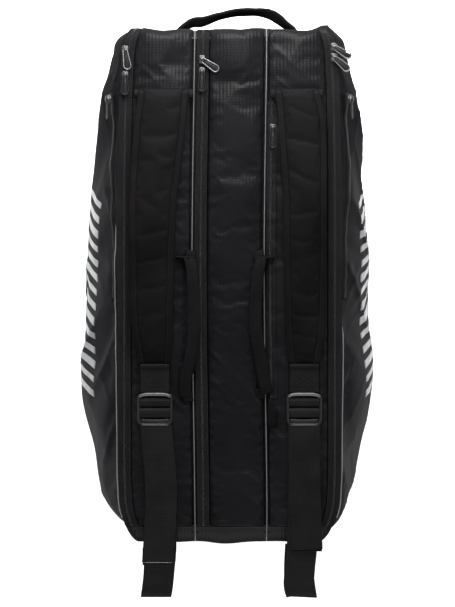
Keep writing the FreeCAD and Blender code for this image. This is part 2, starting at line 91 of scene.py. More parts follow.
FULL_WIDTH = 0.164  # the face's half-width where the bag is widest

# Thicknesses.
CLOTH = 0.0025
WEBBING = 0.0018
PATCH = 0.0022
FRONT_AND_LINING = {kind: [kind, "lining"] for kind in ("face", "side", "belly")}


def middle_x(corners):
    """The middle across of a box of the frame."""
    return (corners[0].x + corners[1].x) / 2


def hermite(y, column):
    """A smooth value at y of one column of the outline."""
    ys = np.array([row[0] for row in OUTLINE])
    values = np.array([row[column] for row in OUTLINE])
    slopes = np.gradient(values, ys)
    steps = np.diff(values) / np.diff(ys)
    for index in range(1, len(ys) - 1):
        if steps[index - 1] * steps[index] <= 0:
            slopes[index] = 0
    y = np.clip(y, ys[0], ys[-1])
    spot = np.clip(np.searchsorted(ys, y) - 1, 0, len(ys) - 2)
    span = ys[spot + 1] - ys[spot]
    t = (y - ys[spot]) / span
    low, high = values[spot], values[spot + 1]
    return (
        (2 * t**3 - 3 * t**2 + 1) * low
        + (t**3 - 2 * t**2 + t) * span * slopes[spot]
        + (3 * t**2 - 2 * t**3) * high
        + (t**3 - t**2) * span * slopes[spot + 1]
    )


def waves(a, b, seed, length, heading, spread, count=9):
    """Smooth uneven waves over the plane (a, b), about -1 to 1, with crests across heading."""
    draw = np.random.default_rng(seed)
    total = np.zeros(np.broadcast(a, b).shape)
    for _ in range(count):
        angle = heading + draw.uniform(-spread, spread)
        pace = 2 * math.pi / (length * draw.uniform(0.7, 1.8))
        phase = draw.uniform(0, 2 * math.pi)
        total += np.cos(pace * (a * math.cos(angle) + b * math.sin(angle)) + phase)
    return total / math.sqrt(count)


def creases(a, b, seed, length, heading, spread):
    """Thin folded ridges, 0 to 1, in patches."""
    ridge = 1 - np.clip(np.abs(waves(a, b, seed, length, heading, spread)) * 1.1, 0, 1)
    patch = np.clip(waves(a, b, seed + 50, length * 2.4, heading + 1.2, 1.5) * 0.7 + 0.35, 0, 1)
    return ridge**1.7 * patch


def gauss(value, centre, width):
    """A smooth bump, 1 high at its centre."""
    return np.exp(-(((value - centre) / width) ** 2))


def unit(vectors):
    """Vectors along the last axis, each made 1 long."""
    return vectors / np.maximum(np.linalg.norm(vectors, axis=-1, keepdims=True), 1e-12)


def travelled(line):
    """The distance along a line at each of its points."""
    return np.concatenate([[0], np.cumsum(np.linalg.norm(np.diff(line, axis=0), axis=1))])


def spot_on(line, travel, place):
    """The point of a line at one distance along it."""
    return np.array([np.interp(place, travel, line[:, k]) for k in range(3)])


def outline_at(y, sign):
    """Half-widths at the face, side and belly, and the belly's height, on one side."""
    return (hermite(y, 1), hermite(y, 2 if sign < 0 else 3), hermite(y, 4), hermite(y, 5))


def seam_line(y):
    """How far the two inner seams wander sideways along the bag."""
    return -0.0022 * np.cos((y - 0.03) * 7.5)


# ------------------------------------------------------------------ materials


def rgb(value, tint=(1, 1, 1)):
    """A grey, tinted."""
    return (value * tint[0], value * tint[1], value * tint[2], 1)


VARY_ENDS = (0.3, 0.7)  # the part of a noise that is spread over a whole ramp


class Look:
    """A small builder for one procedural material."""

    def __init__(self, name, colour, rough, metal=0.0):
        self.material = bpy.data.materials.new(name)
        self.material.use_nodes = True
        self.tree = self.material.node_tree
        self.shader = self.tree.nodes["Principled BSDF"]
        self.shader.inputs["Base Color"].default_value = colour
        self.shader.inputs["Roughness"].default_value = rough
        self.shader.inputs["Metallic"].default_value = metal
        self.place = self.node("ShaderNodeTexCoord").outputs["Object"]
        self.normal = None

    def node(self, kind, **values):
        made = self.tree.nodes.new(kind)
        for key, value in values.items():
            setattr(made, key, value)
        return made

    def link(self, start, end):
        self.tree.links.new(start, end)

    def set(self, **values):
        for key, value in values.items():
            self.shader.inputs[key.replace("_", " ")].default_value = value
        return self

    def noise(self, scale, detail):
        texture = self.node("ShaderNodeTexNoise")
        texture.inputs["Scale"].default_value = scale
        texture.inputs["Detail"].default_value = detail
        self.link(self.place, texture.inputs["Vector"])
        return texture.outputs["Fac"]

    def bands(self, pitch, axis, distortion=0.0):
        texture = self.node("ShaderNodeTexWave", bands_direction=axis)
        texture.inputs["Scale"].default_value = 2 * math.pi / 20 / pitch
        texture.inputs["Distortion"].default_value = distortion
        self.link(self.place, texture.inputs["Vector"])
        return texture.outputs["Fac"]

    def mix(self, first, second, kind="MULTIPLY"):
        maths = self.node("ShaderNodeMath", operation=kind)
        for socket, value in zip(maths.inputs, (first, second)):
            if isinstance(value, (int, float)):
                socket.default_value = value
            else:
                self.link(value, socket)
        return maths.outputs["Value"]

    def bump(self, height, strength, distance):
        made = self.node("ShaderNodeBump")
        made.inputs["Strength"].default_value = strength
        made.inputs["Distance"].default_value = distance
        self.link(height, made.inputs["Height"])
        if self.normal is not None:
            self.link(self.normal, made.inputs["Normal"])
        self.normal = made.outputs["Normal"]
        self.link(self.normal, self.shader.inputs["Normal"])
        return self

    def coat(self, weight, rough):
        """Give cloth its gloss as a thin coat only, so its edges stay dark."""
        self.set(Specular_IOR_Level=0.0, Coat_Weight=weight, Coat_Roughness=rough)
        if self.normal is not None:
            self.link(self.normal, self.shader.inputs["Coat Normal"])
        return self.material

    def span(self, factor, ends, low, high, socket, kind="LINEAR"):
        """Map a factor between two ends to low and high, into a socket."""
        made = self.node("ShaderNodeMapRange", interpolation_type=kind)
        for key, value in zip(("From Min", "From Max", "To Min", "To Max"), (*ends, low, high)):
            made.inputs[key].default_value = value
        self.link(factor, made.inputs["Value"])
        self.link(made.outputs["Result"], self.shader.inputs[socket])
        return self

    def fade(self, start, end, low, high, socket):
        """Change a socket smoothly along the bag, from low at Y = start to high at Y = end."""
        split = self.node("ShaderNodeSeparateXYZ")
        self.link(self.place, split.inputs["Vector"])
        return self.span(split.outputs["Y"], (start, end), low, high, socket, "SMOOTHSTEP")

    def vary(self, factor, low, high, socket):
        """Ramp a factor between two values, or two colours, into a socket."""
        if not isinstance(low, tuple):
            return self.span(factor, VARY_ENDS, low, high, socket)
        ramp = self.node("ShaderNodeValToRGB")
        for stop, colour, place in zip(ramp.color_ramp.elements, (low, high), VARY_ENDS):
            stop.color = colour
            stop.position = place
        self.link(factor, ramp.inputs["Fac"])
        self.link(ramp.outputs["Color"], self.shader.inputs[socket])
        return self


def make_face_fabric():
    look = Look("ribbed_nylon", rgb(0.02), 0.5)
    look.vary(look.noise(9, 4), rgb(0.0020, (1, 1, 1.16)), rgb(0.0034, (1, 1, 1.14)), "Base Color")
    look.vary(look.noise(25, 4), 0.42, 0.6, "Roughness")
    ribs = look.mix(look.bands(0.0052, "X"), look.mix(look.bands(0.0040, "Y"), 0.35), "ADD")
    look.bump(ribs, 0.6, 0.00032)
    look.bump(look.noise(900, 2), 0.25, 0.0002)
    # Coat made stronger towards the bag's top end: a painted sheen that lightens the top, where the light
    # falls.
    look.fade(0.10, 0.36, 0.054, 0.088, "Coat Weight")
    return look.coat(0.065, 0.42)


def make_side_fabric():
    look = Look("coated_nylon", rgb(0.015), 0.36)
    look.vary(look.noise(7, 4), rgb(0.0022, (1, 1.04, 1.28)), rgb(0.0038, (1, 1.04, 1.25)), "Base Color")
    look.vary(look.noise(18, 5), 0.36, 0.5, "Roughness")
    look.bump(look.noise(60, 5), 0.1, 0.0010)
    look.bump(look.noise(1400, 2), 0.16, 0.0001)
    # Coat made weaker towards the bag's top end: painted shade that dims the reflections there.
    look.fade(0.08, 0.25, 0.085, 0.026, "Coat Weight")
    return look.coat(0.085, 0.32)


def make_strap_fabric():
    look = Look("strap_weave", rgb(0.022), 0.85)
    low, high = rgb(0.0015, (1.06, 1, 0.98)), rgb(0.0027, (1.08, 1, 0.97))
    look.vary(look.noise(14, 5), low, high, "Base Color")
    weave = look.mix(look.bands(0.0013, "X"), look.bands(0.0011, "Y"))
    look.bump(weave, 0.55, 0.0002)
    look.bump(look.noise(500, 3), 0.3, 0.0002)
    # Coat made stronger towards the strap's top: a painted sheen that lightens its upper part.
    look.fade(0.0, 0.28, 0.015, 0.050, "Coat Weight")
    return look.coat(0.040, 0.6)


def make_webbing(name="webbing_weave", level=0.0032, gloss=0.052):
    look = Look(name, rgb(level), 0.7)
    low, high = rgb(level * 0.85, (0.98, 1.02, 1.0)), rgb(level * 1.35, (0.98, 1.02, 1.0))
    look.vary(look.noise(30, 4), low, high, "Base Color")
    weave = look.mix(look.bands(0.0018, "X", 0.6), look.bands(0.0034, "Y", 0.4), "ADD")
    look.bump(weave, 0.7, 0.0003)
    look.bump(look.noise(700, 2), 0.3, 0.0002)
    return look.coat(gloss, 0.5)


def make_plain(name, colour, rough, metal=0.0, grain=0.15, fine=900, **extra):
    """A moulded, metal or printed surface with a fine grain and uneven gloss."""
    look = Look(name, colour, rough, metal)
    dark = tuple(c * 0.85 for c in colour[:3]) + (1,)
    light = tuple(min(c * 1.15, 1) for c in colour[:3]) + (1,)
    look.vary(look.noise(40, 4), dark, light, "Base Color")
    look.vary(look.noise(120, 3), rough * 0.85, min(rough * 1.2, 1), "Roughness")
    look.bump(look.noise(fine, 3), grain, 0.0002)
    return look.set(**extra).material


MATERIALS = {
    "face": make_face_fabric(),
    "side": make_side_fabric(),
    "strap": make_strap_fabric(),
    "webbing": make_webbing(),
    "tape": make_webbing("zip_tape_weave", 0.0030),
    "handle": make_webbing("handle_weave", 0.0020, 0.030),
    "piping": make_plain("reflective_piping", rgb(0.038, (1, 1.01, 1.03)), 0.45),
    "coil": make_plain("zip_coil_nylon", rgb(0.008), 0.35, Specular_IOR_Level=0.2),
    "slider": make_plain("zip_slider_metal", rgb(0.035), 0.38, metal=1.0),
    "pull": make_plain("zip_pull_rim", rgb(0.085, (1, 1, 1.02)), 0.38, metal=0.85),
    "pull_core": make_plain("zip_pull_core", rgb(0.004), 0.5, Specular_IOR_Level=0.08),
    # The buckle's plastic made lighter, for the lock's top bar only: a painted highlight where the top light
    # catches that bar.
    "buckle_rim": make_plain("moulded_buckle_rim", rgb(0.026), 0.40, grain=0.03, Specular_IOR_Level=0.25),
    "buckle": make_plain("moulded_buckle", rgb(0.004), 0.32, grain=0.03, Specular_IOR_Level=0.14),
    "print": make_plain("silver_print", rgb(0.088, (1, 1.02, 1.06)), 0.42, metal=0.2),
    "lining": make_plain("woven_lining", rgb(0.1), 0.8, grain=0.5, fine=500),
    "belly": make_plain("belly_fabric", rgb(0.010), 0.6, grain=0.5, fine=500),
    "thread": make_plain("thread", rgb(0.008), 0.8, Specular_IOR_Level=0.1),
}

# ------------------------------------------------------------------ mesh helpers


def make_object(name, verts, faces, material, face_materials=None):
    """A smooth-shaded mesh with one material, or with several and each face's choice of them."""
    mesh = bpy.data.meshes.new(name)
    mesh.from_pydata([tuple(v) for v in verts], [], faces)
    mesh.update()
    made = bpy.data.objects.new(name, mesh)
    bpy.context.scene.collection.objects.link(made)
    for item in material if isinstance(material, (list, tuple)) else [material]:
        mesh.materials.append(MATERIALS[item])
    mesh.polygons.foreach_set("use_smooth", [True] * len(mesh.polygons))
    if face_materials is not None:
        mesh.polygons.foreach_set("material_index", face_materials)
    return made


def finish_piece(piece, body, slot, *nodes):
    """Put a piece on its body, and let it stand for CAD nodes. The slot argument is not used."""
    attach(piece, body)
    if nodes:
        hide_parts(*nodes)
    return piece


def grid_normals(points):
    along_u = np.gradient(points, axis=0)
    along_v = np.gradient(points, axis=1)
    return unit(np.cross(along_u, along_v))


def grid_quads(nu, nv, offset=0, flip=False, wrap=False):
    """The faces of a grid of nu by nv points. wrap joins the last row to the first."""
    quads = []
    for i in range(nu if wrap else nu - 1):
        for j in range(nv - 1):
            a = offset + i * nv + j
            b = offset + ((i + 1) % nu) * nv + j
            quads.append((a, a + 1, b + 1, b) if flip else (a, b, b + 1, a + 1))
    return quads


def sheet_solid(name, points, thickness, materials):
    """A closed panel: an outer grid, an inner grid thickness away, and the edges between."""
    return pad_solid(name, points, points - grid_normals(points) * thickness, materials)


def pad_solid(name, points, inner, materials):
    """A closed solid between an outer and an inner grid."""
    nu, nv = points.shape[:2]
    verts = np.concatenate([points.reshape(-1, 3), inner.reshape(-1, 3)])
    count = nu * nv
    faces = grid_quads(nu, nv)
    outside = len(faces)
    faces += grid_quads(nu, nv, count, flip=True)
    inside = len(faces)
    border = [i * nv for i in range(nu)]
    border += [(nu - 1) * nv + j for j in range(1, nv)]
    border += [i * nv + nv - 1 for i in range(nu - 2, -1, -1)]
    border += [j for j in range(nv - 2, 0, -1)]
    for here, there in zip(border, border[1:] + border[:1]):
        faces.append((there, here, here + count, there + count))
    marks = [0] * outside + [1] * (inside - outside) + [0] * (len(faces) - inside)
    return make_object(name, verts, faces, materials, marks)


def smooth_path(points, step):
    """Points along a smooth line through control points."""
    points = np.array(points, float)
    padded = np.vstack([2 * points[0] - points[1], points, 2 * points[-1] - points[-2]])
    line = []
    for i in range(1, len(padded) - 2):
        a, b, c, d = padded[i - 1 : i + 3]
        count = max(2, int(np.linalg.norm((c - b)[:3]) / step))
        for t in np.arange(count) / count:
            bend = (2 * a - 5 * b + 4 * c - d) * t**2 + (3 * b - a - 3 * c + d) * t**3
            line.append(0.5 * (2 * b + (c - a) * t + bend))
    line.append(padded[-2])
    return np.array(line)


def refine(points):
    """The same grid with twice as many cells each way, on a smooth surface."""
    for axis in (0, 1):
        grid = np.moveaxis(points, axis, 0)
        before = np.concatenate([2 * grid[:1] - grid[1:2], grid[:-2]])
        after = np.concatenate([grid[2:], 2 * grid[-1:] - grid[-2:-1]])
        middle = (9 * (grid[:-1] + grid[1:]) - before - after) / 16
        whole = np.empty((2 * len(grid) - 1,) + grid.shape[1:])
        whole[0::2] = grid
        whole[1::2] = middle
        points = np.moveaxis(whole, 0, axis)
    return points


NYLON = {
    "quality": 5, "mass": 0.15, "air_damping": 2.0,
    "tension_stiffness": 12, "compression_stiffness": 12, "shear_stiffness": 6,
}


def settle(points, slack, pressure, cap, bending, frames=20):
    """Cloth simulation of a grid of points held along its edges, with some spare fabric."""
    nu, nv = points.shape[:2]
    mesh = bpy.data.meshes.new("settling")
    mesh.from_pydata([tuple(v) for v in points.reshape(-1, 3)], [], grid_quads(nu, nv))
    mesh.update()
    cloth = bpy.data.objects.new("settling", mesh)
    bpy.context.scene.collection.objects.link(cloth)
    group = cloth.vertex_groups.new(name="pinned")
    pinned = np.zeros((nu, nv), bool)
    pinned[[0, -1], :] = True
    pinned[:, [0, -1]] = True
    group.add([int(i) for i in np.flatnonzero(pinned.ravel())], 1.0, "REPLACE")
    modifier = cloth.modifiers.new("cloth", "CLOTH")
    values = modifier.settings
    for key, value in NYLON.items():
        setattr(values, key, value)
    values.bending_stiffness = bending
    values.vertex_group_mass = "pinned"
    values.use_pressure = True
    values.uniform_pressure_force = pressure
    values.shrink_min = values.shrink_max = -slack
    values.effector_weights.gravity = 0
    modifier.collision_settings.use_collision = False
    modifier.point_cache.frame_start = 1
    modifier.point_cache.frame_end = frames
    scene = bpy.context.scene
    for moment in range(1, frames + 1):
        scene.frame_set(moment)
    moved = cloth.evaluated_get(bpy.context.evaluated_depsgraph_get()).to_mesh()
    result = np.empty(len(moved.vertices) * 3)
    moved.vertices.foreach_get("co", result)
    bpy.data.objects.remove(cloth)
    scene.frame_set(1)
    shift = result.reshape(points.shape) - points
    length = np.linalg.norm(shift, axis=2, keepdims=True)
    return points + shift * np.minimum(1, cap / np.maximum(length, 1e-9))


def loft(name, rings, material):
    """A closed tube through rings of points."""
    rings = np.array(rings)
    count, around = rings.shape[:2]
    faces = grid_quads(around, count, 0, flip=True, wrap=True)
    verts = rings.transpose(1, 0, 2).reshape(-1, 3)
    faces.append(tuple(i * count for i in range(around)))
    faces.append(tuple(i * count + count - 1 for i in reversed(range(around))))
    return make_object(name, verts, faces, material)


def tube(name, path, radius, material, around=8):
    """A round cord of constant radius along a path."""
    path = np.array(path)
    along = unit(np.gradient(path, axis=0))
    across = unit(np.cross(along, [0.0, 0.0, 1.0]))
    other = np.cross(across, along)
    angles = [2 * math.pi * k / around for k in range(around)]
    rings = [
        [centre + radius * (math.cos(a) * side + math.sin(a) * up) for a in angles]
        for centre, side, up in zip(path, across, other)
    ]
    return loft(name, rings, material)


RIBBON_PROFILE = (
    (-0.5, -0.25), (-0.485, -0.5), (-0.25, -0.5), (0, -0.5), (0.25, -0.5), (0.485, -0.5),
    (0.5, -0.25), (0.5, 0.25), (0.485, 0.5), (0.25, 0.5), (0, 0.5), (-0.25, 0.5),
    (-0.485, 0.5), (-0.5, 0.25),
)


def turns_along(line, tilt):
    """The tilts given from end to end, in degrees, as a turn in radians at each point of a line."""
    tilts = np.interp(np.linspace(0, 1, len(line)), np.linspace(0, 1, len(tilt)), tilt)
    return np.radians(tilts)


def ribbon(name, path, width, thickness, material="webbing", tilt=(0, 0), step=0.004):
    """Flat strap along control points (x, y, z), with soft edges. tilt turns it, in degrees."""
    line = smooth_path(path, step)
    along = unit(np.gradient(line, axis=0))
    sideways = np.array([1.0, 0.0, 0.0]) if abs(along[0][0]) < 0.8 else np.array([0.0, 0.0, 1.0])
    rings = []
    for centre, direction, turn in zip(line, along, turns_along(line, tilt)):
        across = unit(sideways - direction * np.dot(sideways, direction))
        up = np.cross(across, direction)
        a = across * math.cos(turn) + up * math.sin(turn)
        b = np.cross(a, direction)
        rings.append([centre + a * p * width + b * q * thickness for p, q in RIBBON_PROFILE])
    return loft(name, rings, material)


def sewn(name, path, width, thickness, body, slot, *nodes, **shape):
    """A ribbon on its body, which stands for CAD nodes. The slot argument is not used."""
    return finish_piece(ribbon(name, path, width, thickness, **shape), body, slot, *nodes)


STITCH_FACES = ((0, 2, 4), (0, 4, 3), (1, 4, 2), (1, 3, 4), (0, 3, 2), (1, 2, 3))


def stitches(name, line, body, slot, length=0.003, gap=0.0015, width=0.0011, lift=0.0005):
    """A row of small raised stitches along a line of points."""
    line = np.array(line)
    travel = travelled(line)
    verts, faces = [], []
    for start in np.arange(gap, travel[-1] - length, length + gap):
        first, middle, last = (spot_on(line, travel, start + length * part) for part in (0, 0.5, 1))
        along = unit(last - first)
        across = unit(np.cross(along, [0, 0, 1]))
        up = np.cross(across, along)
        base = len(verts)
        verts += [first - up * lift, last - up * lift]
        verts += [middle + across * width * half - up * lift for half in (-0.5, 0.5)]
        verts.append(middle + up * lift * 1.6)
        faces += [tuple(base + corner for corner in face) for face in STITCH_FACES]
    piece = make_object(name, verts, faces, "thread")
    return finish_piece(piece, body, slot)


# ------------------------------------------------------------------ shell surfaces


def end_drop(y, room=0.03, depth=0.018):
    """How far the face curves down near the bag's two ends."""
    low = np.clip((BOTTOM_END + room - y) / room, 0, 1)
    high = np.clip((y - (TOP_END - room * 0.7)) / (room * 0.7), 0, 1)
    drop = np.maximum(low, high)
    return depth * (1 - np.sqrt(np.clip(1 - drop**2, 0, 1)))


def face_relief(x, y):
    """The uneven height of the face's fabric."""
    lower = np.clip((0.16 - y) / 0.3, 0, 1)
    upper = np.clip((y - 0.22) / 0.1, 0, 1)
    soft = 0.0016 * waves(x, y, 3, 0.11, 1.1, 0.9)
    diagonal = 0.0026 * creases(x, y, 11, 0.055, 0.95, 0.3) * (0.35 + lower)
    ripple = 0.0013 * creases(x, y, 23, 0.028, 1.35, 0.5) * (0.3 + 0.7 * lower)
    dimple = -0.003 * np.clip(waves(x, y, 31, 0.09, 0.3, 1.4), 0, 1.5) * upper
    return soft + diagonal + ripple + dimple


def narrowed(x, y):
    """Draw the outer parts of the face in towards the bag's rounded ends."""
    narrowing = 1 - np.clip(hermite(y, 1) / FULL_WIDTH, 0, 1)
    share = np.clip((np.abs(x) - 0.045) / 0.09, 0, 1)
    return x * (1 - narrowing * share)


def face_surface(x0, x1, y0, y1, crown, nu, nv, seams):
    """A panel of the face between two lines along the bag, crowned between its seams."""
    s, y = np.meshgrid(np.linspace(0, 1, nu), np.linspace(y0, y1, nv), indexing="ij")
    shift = seam_line(y)
    left = x0 + (shift if seams[0] else 0)
    right = x1 + (shift if seams[1] else 0)
    x = left + (right - left) * s
    x = narrowed(x, y)
    edge = np.minimum(s, 1 - s) * (x1 - x0)
    swell = np.sqrt(np.clip(1 - (2 * s - 1) ** 2, 0, 1)) ** 1.2
    tuck = np.exp(-edge / 0.006)
    pucker = 0.0006 * waves(x * 0.4, y, 41, 0.016, math.pi / 2, 0.3) * np.exp(-edge / 0.012)
    z = FACE - end_drop(y) + crown * swell - 0.0034 * tuck + pucker
    z = z + face_relief(x, y) * np.clip(edge / 0.012, 0, 1)
    return np.stack([x, puffed(x, y), z], axis=2)


def drawn_in(y, sign):
    """The outline with the slack of its cloth sides taken up, and with square top corners."""
    face, side, belly, base = outline_at(y, sign)
    slack = 0.0050 + 0.0060 * gauss(y, 0.325, 0.032) + 0.0108 * gauss(y, -0.362, 0.028)
    square = np.clip((y - 0.350) / 0.030, 0, 1) * (0.0080 if sign < 0 else 0.0110)
    side = np.maximum(side - slack + square, np.minimum(face, side))
    return face, side, belly, base


def round_section(y, sign, top, t):
    """x and z of a side's round section at t, from the face's edge (0) to the belly (1)."""
    face, side, belly, base = drawn_in(y, sign)
    reach = (8 * side - face - belly) / 6
    b0, b1, b2, b3 = (1 - t) ** 3, 3 * t * (1 - t) ** 2, 3 * t * t * (1 - t), t**3
    x = b0 * face + (b1 + b2) * reach + b3 * belly
    z = b0 * top + b1 * (top - RING_ROOM) + b2 * (base + RING_ROOM) + b3 * base
    return x * sign, z


SIDE_START = BOTTOM_SEAM + 0.0006
SIDE_END = TOP_END - 0.0015
SIDE_LAST = 0.995  # how far round to the belly a side panel reaches


def side_surface(sign):
    """A side panel, from the face's edge (t = 0) round to the belly, with its folds."""
    t, y = np.meshgrid(
        np.linspace(0, SIDE_LAST, 48), np.linspace(SIDE_START, SIDE_END, 150), indexing="ij"
    )
    x, z = round_section(y, sign, FACE - end_drop(y) - 0.0015, t)
    points = np.stack([x, y, z], axis=2)
    normal = grid_normals(points)
    normal = normal * np.where(normal[..., :1] * sign < 0, -1, 1)
    arc = t * 0.36
    seed = 101 if sign > 0 else 151
    inside = np.clip(np.minimum(t, 1 - t) / 0.07, 0, 1)
    folds = (
        0.0030 * waves(arc, y, seed, 0.17, 0.9, 1.0)
        + 0.0036 * creases(arc, y, seed + 1, 0.11, 0.6, 0.35)
        + 0.0016 * creases(arc, y, seed + 2, 0.06, 2.4, 0.4)
    )
    height = inside * np.clip((TOP_END - y) / 0.09, 0.15, 1) * folds
    ends = np.minimum(y - BOTTOM_SEAM, TOP_END - y)
    height = height - 0.0025 * np.exp(-ends / 0.008)
    return points + normal * height[..., None]


# Where the bag's top edge stands out or draws in: how far, the middle of the place and its width.
TOP_BUMPS = (
    (0.0034, -0.137, 0.020), (0.0085, 0.143, 0.016), (-0.0028, -0.098, 0.018),
    (-0.0028, 0.108, 0.022), (0.0016, 0.038, 0.014), (-0.0012, 0.018, 0.012),
)


def puffed(x, y):
    """Push the bag's top edge out at its corners and in beside them."""
    share = np.clip((y - (TOP_END - 0.05)) / 0.05, 0, 1) ** 2
    return y + share * sum(height * gauss(x, middle, width) for height, middle, width in TOP_BUMPS)


def press_down(points):
    """Keep the face's crown under the straps, locks and handles that lie on it."""
    room = 0.0025
    rest = FACE + 0.0062
    over = np.maximum(points[..., 2] - rest, 0)
    points[..., 2] = np.minimum(points[..., 2], rest) + over / (1 + over / room)
    return points


face_grids = {}


def make_face_panel(name, x0, x1, crown, seams, body, node):
    """One settled panel of the face. Returns its outer grid."""
    start, end = BOTTOM_SEAM + 0.0006, TOP_END - 0.0015
    points = face_surface(x0, x1, start, end, crown, 23, 166, seams)
    points = settle(points, slack=0.005, pressure=0.7, cap=0.005, bending=0.9)
    points = press_down(refine(points))
    panel = sheet_solid(name, points, CLOTH, FRONT_AND_LINING["face"])
    finish_piece(panel, body, "face_fabric", node)
    return points


def make_face_panels():
    for side, sign in SIDES.items():
        low, high = sorted((sign * PANEL_INNER, sign * PANEL_OUTER))
        name, node = f"{side}_face_fabric", f"{side}_face_panel"
        points = make_face_panel(name, low, high, 0.005, (sign > 0, sign < 0), "root", node)
        face_grids[side] = (points, grid_normals(points))
    edges = STRIP_LEFT + 0.001, STRIP_RIGHT
    make_face_panel("centre_strip_fabric", *edges, 0.006, (True, True), "centre_lid", "centre_lid")


side_grids = {}


def on_side(side, t, y, lift=0.0):
    """Points at t and y on a settled side panel, lifted off it."""
    points, normal = side_grids[side]
    nu, nv = points.shape[:2]
    t, y = np.broadcast_arrays(t, y)
    u = np.clip(t / SIDE_LAST, 0, 1) * (nu - 1)
    v = np.clip((y - SIDE_START) / (SIDE_END - SIDE_START), 0, 1) * (nv - 1)
    i = np.minimum(u.astype(int), nu - 2)
    j = np.minimum(v.astype(int), nv - 2)
    a, b = (u - i)[..., None], (v - j)[..., None]
    spots = []
    for grid in (points, normal):
        near = grid[i, j] * (1 - b) + grid[i, j + 1] * b
        far = grid[i + 1, j] * (1 - b) + grid[i + 1, j + 1] * b
        spots.append(near * (1 - a) + far * a)
    return spots[0] + spots[1] * lift


def side_sheet(name, side, points, thickness, material):
    """A thin closed sheet on a side panel, facing outwards."""
    if SIDES[side] < 0:
        points = points[:, ::-1]
    return sheet_solid(name, points, thickness, material)


def make_side_panels():
    for side, sign in SIDES.items():
        points = side_surface(sign)
        points = refine(settle(points, slack=0.004, pressure=0.25 * sign, cap=0.008, bending=1.6))
        side_grids[side] = (points, sign * grid_normals(points))
        panel = side_sheet(f"{side}_side_fabric", side, points, CLOTH, FRONT_AND_LINING["side"])
        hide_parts(f"{side}_lid", f"{side}_side_pocket")
        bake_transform(panel)


def make_belly():
    s, y = np.meshgrid(
        np.linspace(-1, 1, 60), np.linspace(BOTTOM_SEAM, TOP_SEAM, 150), indexing="ij"
    )
    x = s * (hermite(y, 4) + 0.0005)
    z = hermite(y, 5)
    points = np.stack([x, y, z], axis=2)[:, ::-1]
    panel = sheet_solid("belly_fabric_panel", points, 0.003, FRONT_AND_LINING["belly"])
    finish_piece(panel, "root", "belly_fabric", "belly_panel")


def section_ring(y, sink, count=160):
    """The closed outline of the bag at one place along it."""
    top = FACE - float(end_drop(y)) - sink
    t = np.linspace(0, 1, 41)
    halves = []
    for sign in (1, -1):
        halves.append(np.column_stack(round_section(y, sign, top, t)))
    base = hermite(y, 5)
    whole = np.vstack([[0, top], halves[0], [0, base], halves[1][::-1], [0, top]])
    travel = travelled(whole)
    spots = np.linspace(0, travel[-1], count, endpoint=False)
    return np.column_stack([np.interp(spots, travel, whole[:, k]) for k in (0, 1)])


def make_end_panel(name, seam, end, seed, node):
    """A rounded end: the outline turns in over a few rings, then a soft flat middle."""
    ring = section_ring(seam, 0.0005 if end < seam else 0.0032)
    centre = np.array([0.0, (ring[:, 1].max() + ring[:, 1].min()) / 2])
    depth = end - seam
    outward = math.copysign(1, depth)
    rings = []
    steps = [math.radians(a) for a in range(0, 91, 9)]
    slope = 0.055 if end < seam else 0.0
    rim = 0.13  # how far the rounded edge reaches inwards, as a share of the way to the centre
    shapes = [(math.sin(a), slope * math.sin(a) + (rim - slope) * (1 - math.cos(a))) for a in steps]
    shapes += [(1.0, rim + (1 - rim) * k / 14) for k in range(1, 14)]
    for forward, inset in shapes:
        flat = ring + (centre - ring) * inset
        wrinkle = 0.0016 * waves(flat[:, 0], flat[:, 1], seed, 0.07, 0.8, 1.4)
        y = seam + depth * forward + outward * (wrinkle * min(forward, 1) + 0.004 * inset - 0.0025)
        rings.append(np.column_stack([flat[:, 0], puffed(flat[:, 0], y), flat[:, 1]]))
    rings[0][:, 1] = seam
    rings = np.array(rings).transpose(1, 0, 2)
    around, count = rings.shape[:2]
    verts = list(rings.reshape(-1, 3))
    flip = depth > 0
    faces = grid_quads(around, count, 0, flip=flip, wrap=True)
    tip = len(verts)
    verts.append(rings[:, -1].mean(axis=0))
    for i in range(around):
        a, b = i * count + count - 1, ((i + 1) % around) * count + count - 1
        faces.append((a, tip, b) if flip else (a, b, tip))
    panel = make_object(name, verts, faces, FRONT_AND_LINING["face"])
    if panel.data.polygons[count // 2].normal.y * depth < 0:
        panel.data.flip_normals()
    thick = panel.modifiers.new("cloth_thickness", "SOLIDIFY")
    thick.thickness = CLOTH
    thick.offset = -1
    thick.material_offset = 1
    finish_piece(panel, "root", "face_fabric", node)


def make_dividers():
    """The two cloth walls between the three compartments."""
    for side in SIDES:
        low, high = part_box(f"{side}_divider")
        y, z = np.meshgrid(np.linspace(low.y, high.y, 120), np.linspace(0, 1, 50), indexing="ij")
        floor = np.maximum(hermite(y, 5) + 0.006, low.z)
        height = floor + (high.z - 0.002 - floor) * z
        x = middle_x((low, high)) + 0.0008 * np.sin(2 * math.pi * height / 0.05)
        points = np.stack([x, y, height], axis=2)
        wall = sheet_solid(f"{side}_divider_cloth", points, 0.002, ["lining", "lining"])
        finish_piece(wall, "root", "lining", f"{side}_divider")


make_face_panels()
make_side_panels()
make_belly()
make_end_panel("bottom_end_cloth", BOTTOM_SEAM, BOTTOM_END, 71, "bottom_end_panel")
make_end_panel("top_end_cloth", TOP_SEAM, TOP_END, 81, "top_end_panel")
make_dividers()

# ------------------------------------------------------------------ piping and zips


RIGHTWARDS = np.array([1.0, 0.0, 0.0])


